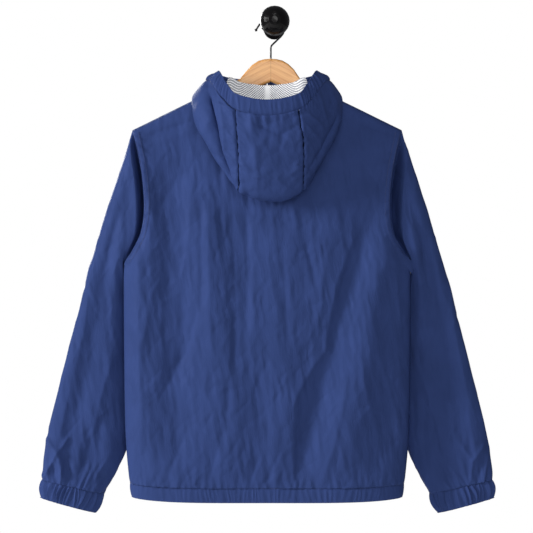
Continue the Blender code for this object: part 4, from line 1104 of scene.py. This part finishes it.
def hoodSeamLine(rib, seed):
    # the thread of a panel seam: a slightly uneven zigzag down the outer layer
    points, places, _ = hoodSurface(np.linspace(rib - 0.02, rib + 0.02, 5), hoodRows)
    outward = hoodOutward(points, places)
    keep = places[:, 2] > 4.3
    run = runAlong(points[keep, 2])
    dense = np.arange(0, run[-1], 1.6)
    path, out = pathAt(dense, run, points[keep, 2]), pathAt(dense, run, outward[keep, 2])
    rng = np.random.default_rng(seed)
    swing = np.zeros(len(dense))
    for spacing, most, beyond in seamWander:
        spots = np.arange(0, run[-1] + beyond, spacing)
        swing += np.interp(dense, spots, rng.uniform(-most, most, len(spots)))
    aside = unit(np.cross(np.gradient(path, axis=0), out))
    return path + aside * swing[:, None] - out * 0.3, out


rows = []
for rib, seed in ((-hoodSeam, 5), (hoodSeam, 6)):
    path, out = hoodSeamLine(rib, seed)
    rows.append(stitchRow(path, out, **seamStitch))
    # the strip under the thread is painted seam shadow
    rows.append(stitchRow(path - out * 1.6, out, **seamShadow))
joinRows("hoodSeams", rows, seamThreadAndShade)
rows = [stitchRow(outline[:, 0] - inwards * 1.4, -inwards, **topStitch)]
joinRows("hoodCasingStitches", rows, topThread)

liningSpec = {"reach": 0.5, "ribs": 90, "first": 0.55, "sink": 1.8, "rowStep": 2.5}  # ribs, place, mm
liningRibs = np.linspace(-liningSpec["reach"], liningSpec["reach"], liningSpec["ribs"])
points, places, _ = hoodSurface(liningRibs, hoodRows)
middleRow, middleRib = hoodRows // 2, liningSpec["ribs"] // 2
outward = normalsOf(points)
outward *= -np.sign(outward[middleRow, middleRib, 1])
x, z = points[..., 0], points[..., 2]
valleys = np.minimum(creases(x, z, hoodCreases) * outerLayer(places), 0)
points = points + outward * (liningSpec["sink"] - valleys)[..., None]
uv = np.stack([x, np.arange(hoodRows)[:, None] * liningSpec["rowStep"] + 0 * x], axis=-1)
shown = slice(int(np.argmax(places[:, middleRib] > liningSpec["first"])), None)
lining = clothSheet("hoodLining", points[shown], net, uv[shown], flip=True, thickness=0)
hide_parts("hood_lining")
print("stage: hood")


# Zip, hanger and peg keep their CAD forms

# nickel plate gives soft dark reflections, and woven tape none
metal = newMaterial("dark nickel zip metal", Roughness=0.34, Metallic=1.0, Base_Color=colour("#8A8A90"))
tape = newMaterial("dark blue woven zip tape", Roughness=0.75, Base_Color=colour("#2B3967"))
# the wire's dipped coat and the peg's sprayed lacquer are smooth, with small bright highlights
wire = newMaterial("black coated steel wire", Roughness=0.32, Base_Color=colour("#1B1B1D"))
lacquer = newMaterial("black satin lacquer", Roughness=0.22, Base_Color=colour("#0C0B0C"),
                      Specular_IOR_Level=0.22)
glue = newMaterial("dark glue line in the mitre", Roughness=0.8, Base_Color=colour("#7A4E2A"))  # dried dull
for node, finish in (("zip_tape_left", tape), ("zip_tape_right", tape), ("zip_slider", metal),
                     ("zip_pull", metal), ("hanger_arm_left", wood), ("hanger_arm_right", wood),
                     ("hanger_hook", wire), ("wall_peg", lacquer)):
    mesh = bpy.data.objects[node].data
    mesh.materials.clear()
    mesh.materials.append(finish)

mitreLine = {"place": (-0.0063, -0.075, -0.0803), "size": (0.00028, 0.0074, 0.0388)}  # m
bpy.ops.object.select_all(action="DESELECT")
bpy.ops.mesh.primitive_cube_add(size=1.0, location=mitreLine["place"], scale=mitreLine["size"])
mitre = bpy.context.object
mitre.name = "mitreGlueLine"
bpy.ops.object.transform_apply(location=True, rotation=True, scale=True)
mitre.data.materials.append(glue)
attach(mitre, body)

teethSpec = {"top": -214.0, "bottom": -812.0, "pitch": 1.5, "length": 1.1, "width": 2.6, "height": 1.1,
             "reach": 0.9, "stand": 2.4}
length = teethSpec["length"]
rows = []
for sign in (-1, 1):
    start = teethSpec["top"] - (teethSpec["pitch"] / 2 if sign > 0 else 0)
    tops = np.arange(start, teethSpec["bottom"], -2 * teethSpec["pitch"])
    for z in np.stack([tops, tops - length], axis=1):
        y = readCurve(drape, shoulderLine(0) - z) + teethSpec["stand"]
        path = np.stack([np.full(2, sign * teethSpec["reach"]), y, z], axis=1)
        rows.append(stitchRow(path, np.array([(0, 1.0, 0)] * 2), length - 0.01, 0.0,
                              teethSpec["width"], teethSpec["height"]))
joinRows("zipTeeth", rows, metal)
print("stage: hard pieces")


# Floor, lights and camera

lights = {  # place, aim, size, watts
    "key": ((-4.9, -1.9, 0.9), (0.0, -0.08, -0.45), (1.0, 1.6), 275),
    "fill": ((0.5, -4.4, 0.9), (0.0, -0.08, -0.45), (2.4, 1.8), 66),
    "top": ((0.0, -1.9, 2.1), (0.0, -0.08, -0.3), (0.5, 0.4), 10),
    "front": ((-1.6, 2.9, 0.4), (0.0, -0.08, -0.45), (1.4, 1.6), 80),
}
room = {"floorZ": -1.75, "floor": "#F1F1F1", "sky": "#EEF1F8", "skyStrength": 0.16, "seen": "#FFFFFF"}
cameraSpec = {"place": (-0.01363, -3.275, -0.4137), "lens": 127.1, "sensor": 36.0, "reach": 60.0}
scene = bpy.context.scene


def makeLight(name, place, aim, size, power):
    lamp = bpy.data.lights.new(name, "AREA")
    lamp.shape = "RECTANGLE"
    lamp.size, lamp.size_y = size
    lamp.energy = power
    thing = bpy.data.objects.new(name, lamp)
    scene.collection.objects.link(thing)
    thing.location = place
    thing.rotation_euler = Vector(np.subtract(aim, place)).to_track_quat("-Z", "Y").to_euler()


def makeStage():
    # a white floor, and a plain white ground that only the camera sees
    bpy.ops.mesh.primitive_plane_add(size=7.0, location=(0.0, 0.0, room["floorZ"]))
    floor = bpy.context.object
    floor.name = "floor"
    paint = newMaterial("matte white floor", Roughness=0.9, Base_Color=colour(room["floor"]))
    floor.data.materials.append(paint)
    world = bpy.data.worlds.new("white room")
    scene.world = world
    world.use_nodes = True
    tree = world.node_tree
    sky = tree.nodes["Background"]
    sky.inputs["Color"].default_value = colour(room["sky"])
    sky.inputs["Strength"].default_value = room["skyStrength"]
    plain = addNode(tree, "Background", {"Color": colour(room["seen"]), "Strength": 1.0})
    seen = addNode(tree, "LightPath", output="Is Camera Ray")
    both = addNode(tree, "MixShader", {0: seen, 1: sky.outputs[0], 2: plain})
    tree.links.new(both, tree.nodes["World Output"].inputs["Surface"])


makeStage()
for name, settings in lights.items():
    makeLight(name, *settings)

cameraData = bpy.data.cameras.new("photo camera")
camera = bpy.data.objects.new("photo camera", cameraData)
scene.collection.objects.link(camera)
scene.camera = camera
cameraData.sensor_width = cameraSpec["sensor"]
cameraData.lens = cameraSpec["lens"]
cameraData.clip_end = cameraSpec["reach"]
camera.location = cameraSpec["place"]
camera.rotation_euler = (math.pi / 2, 0.0, 0.0)
scene.view_settings.view_transform = "Standard"

print("stage: done")
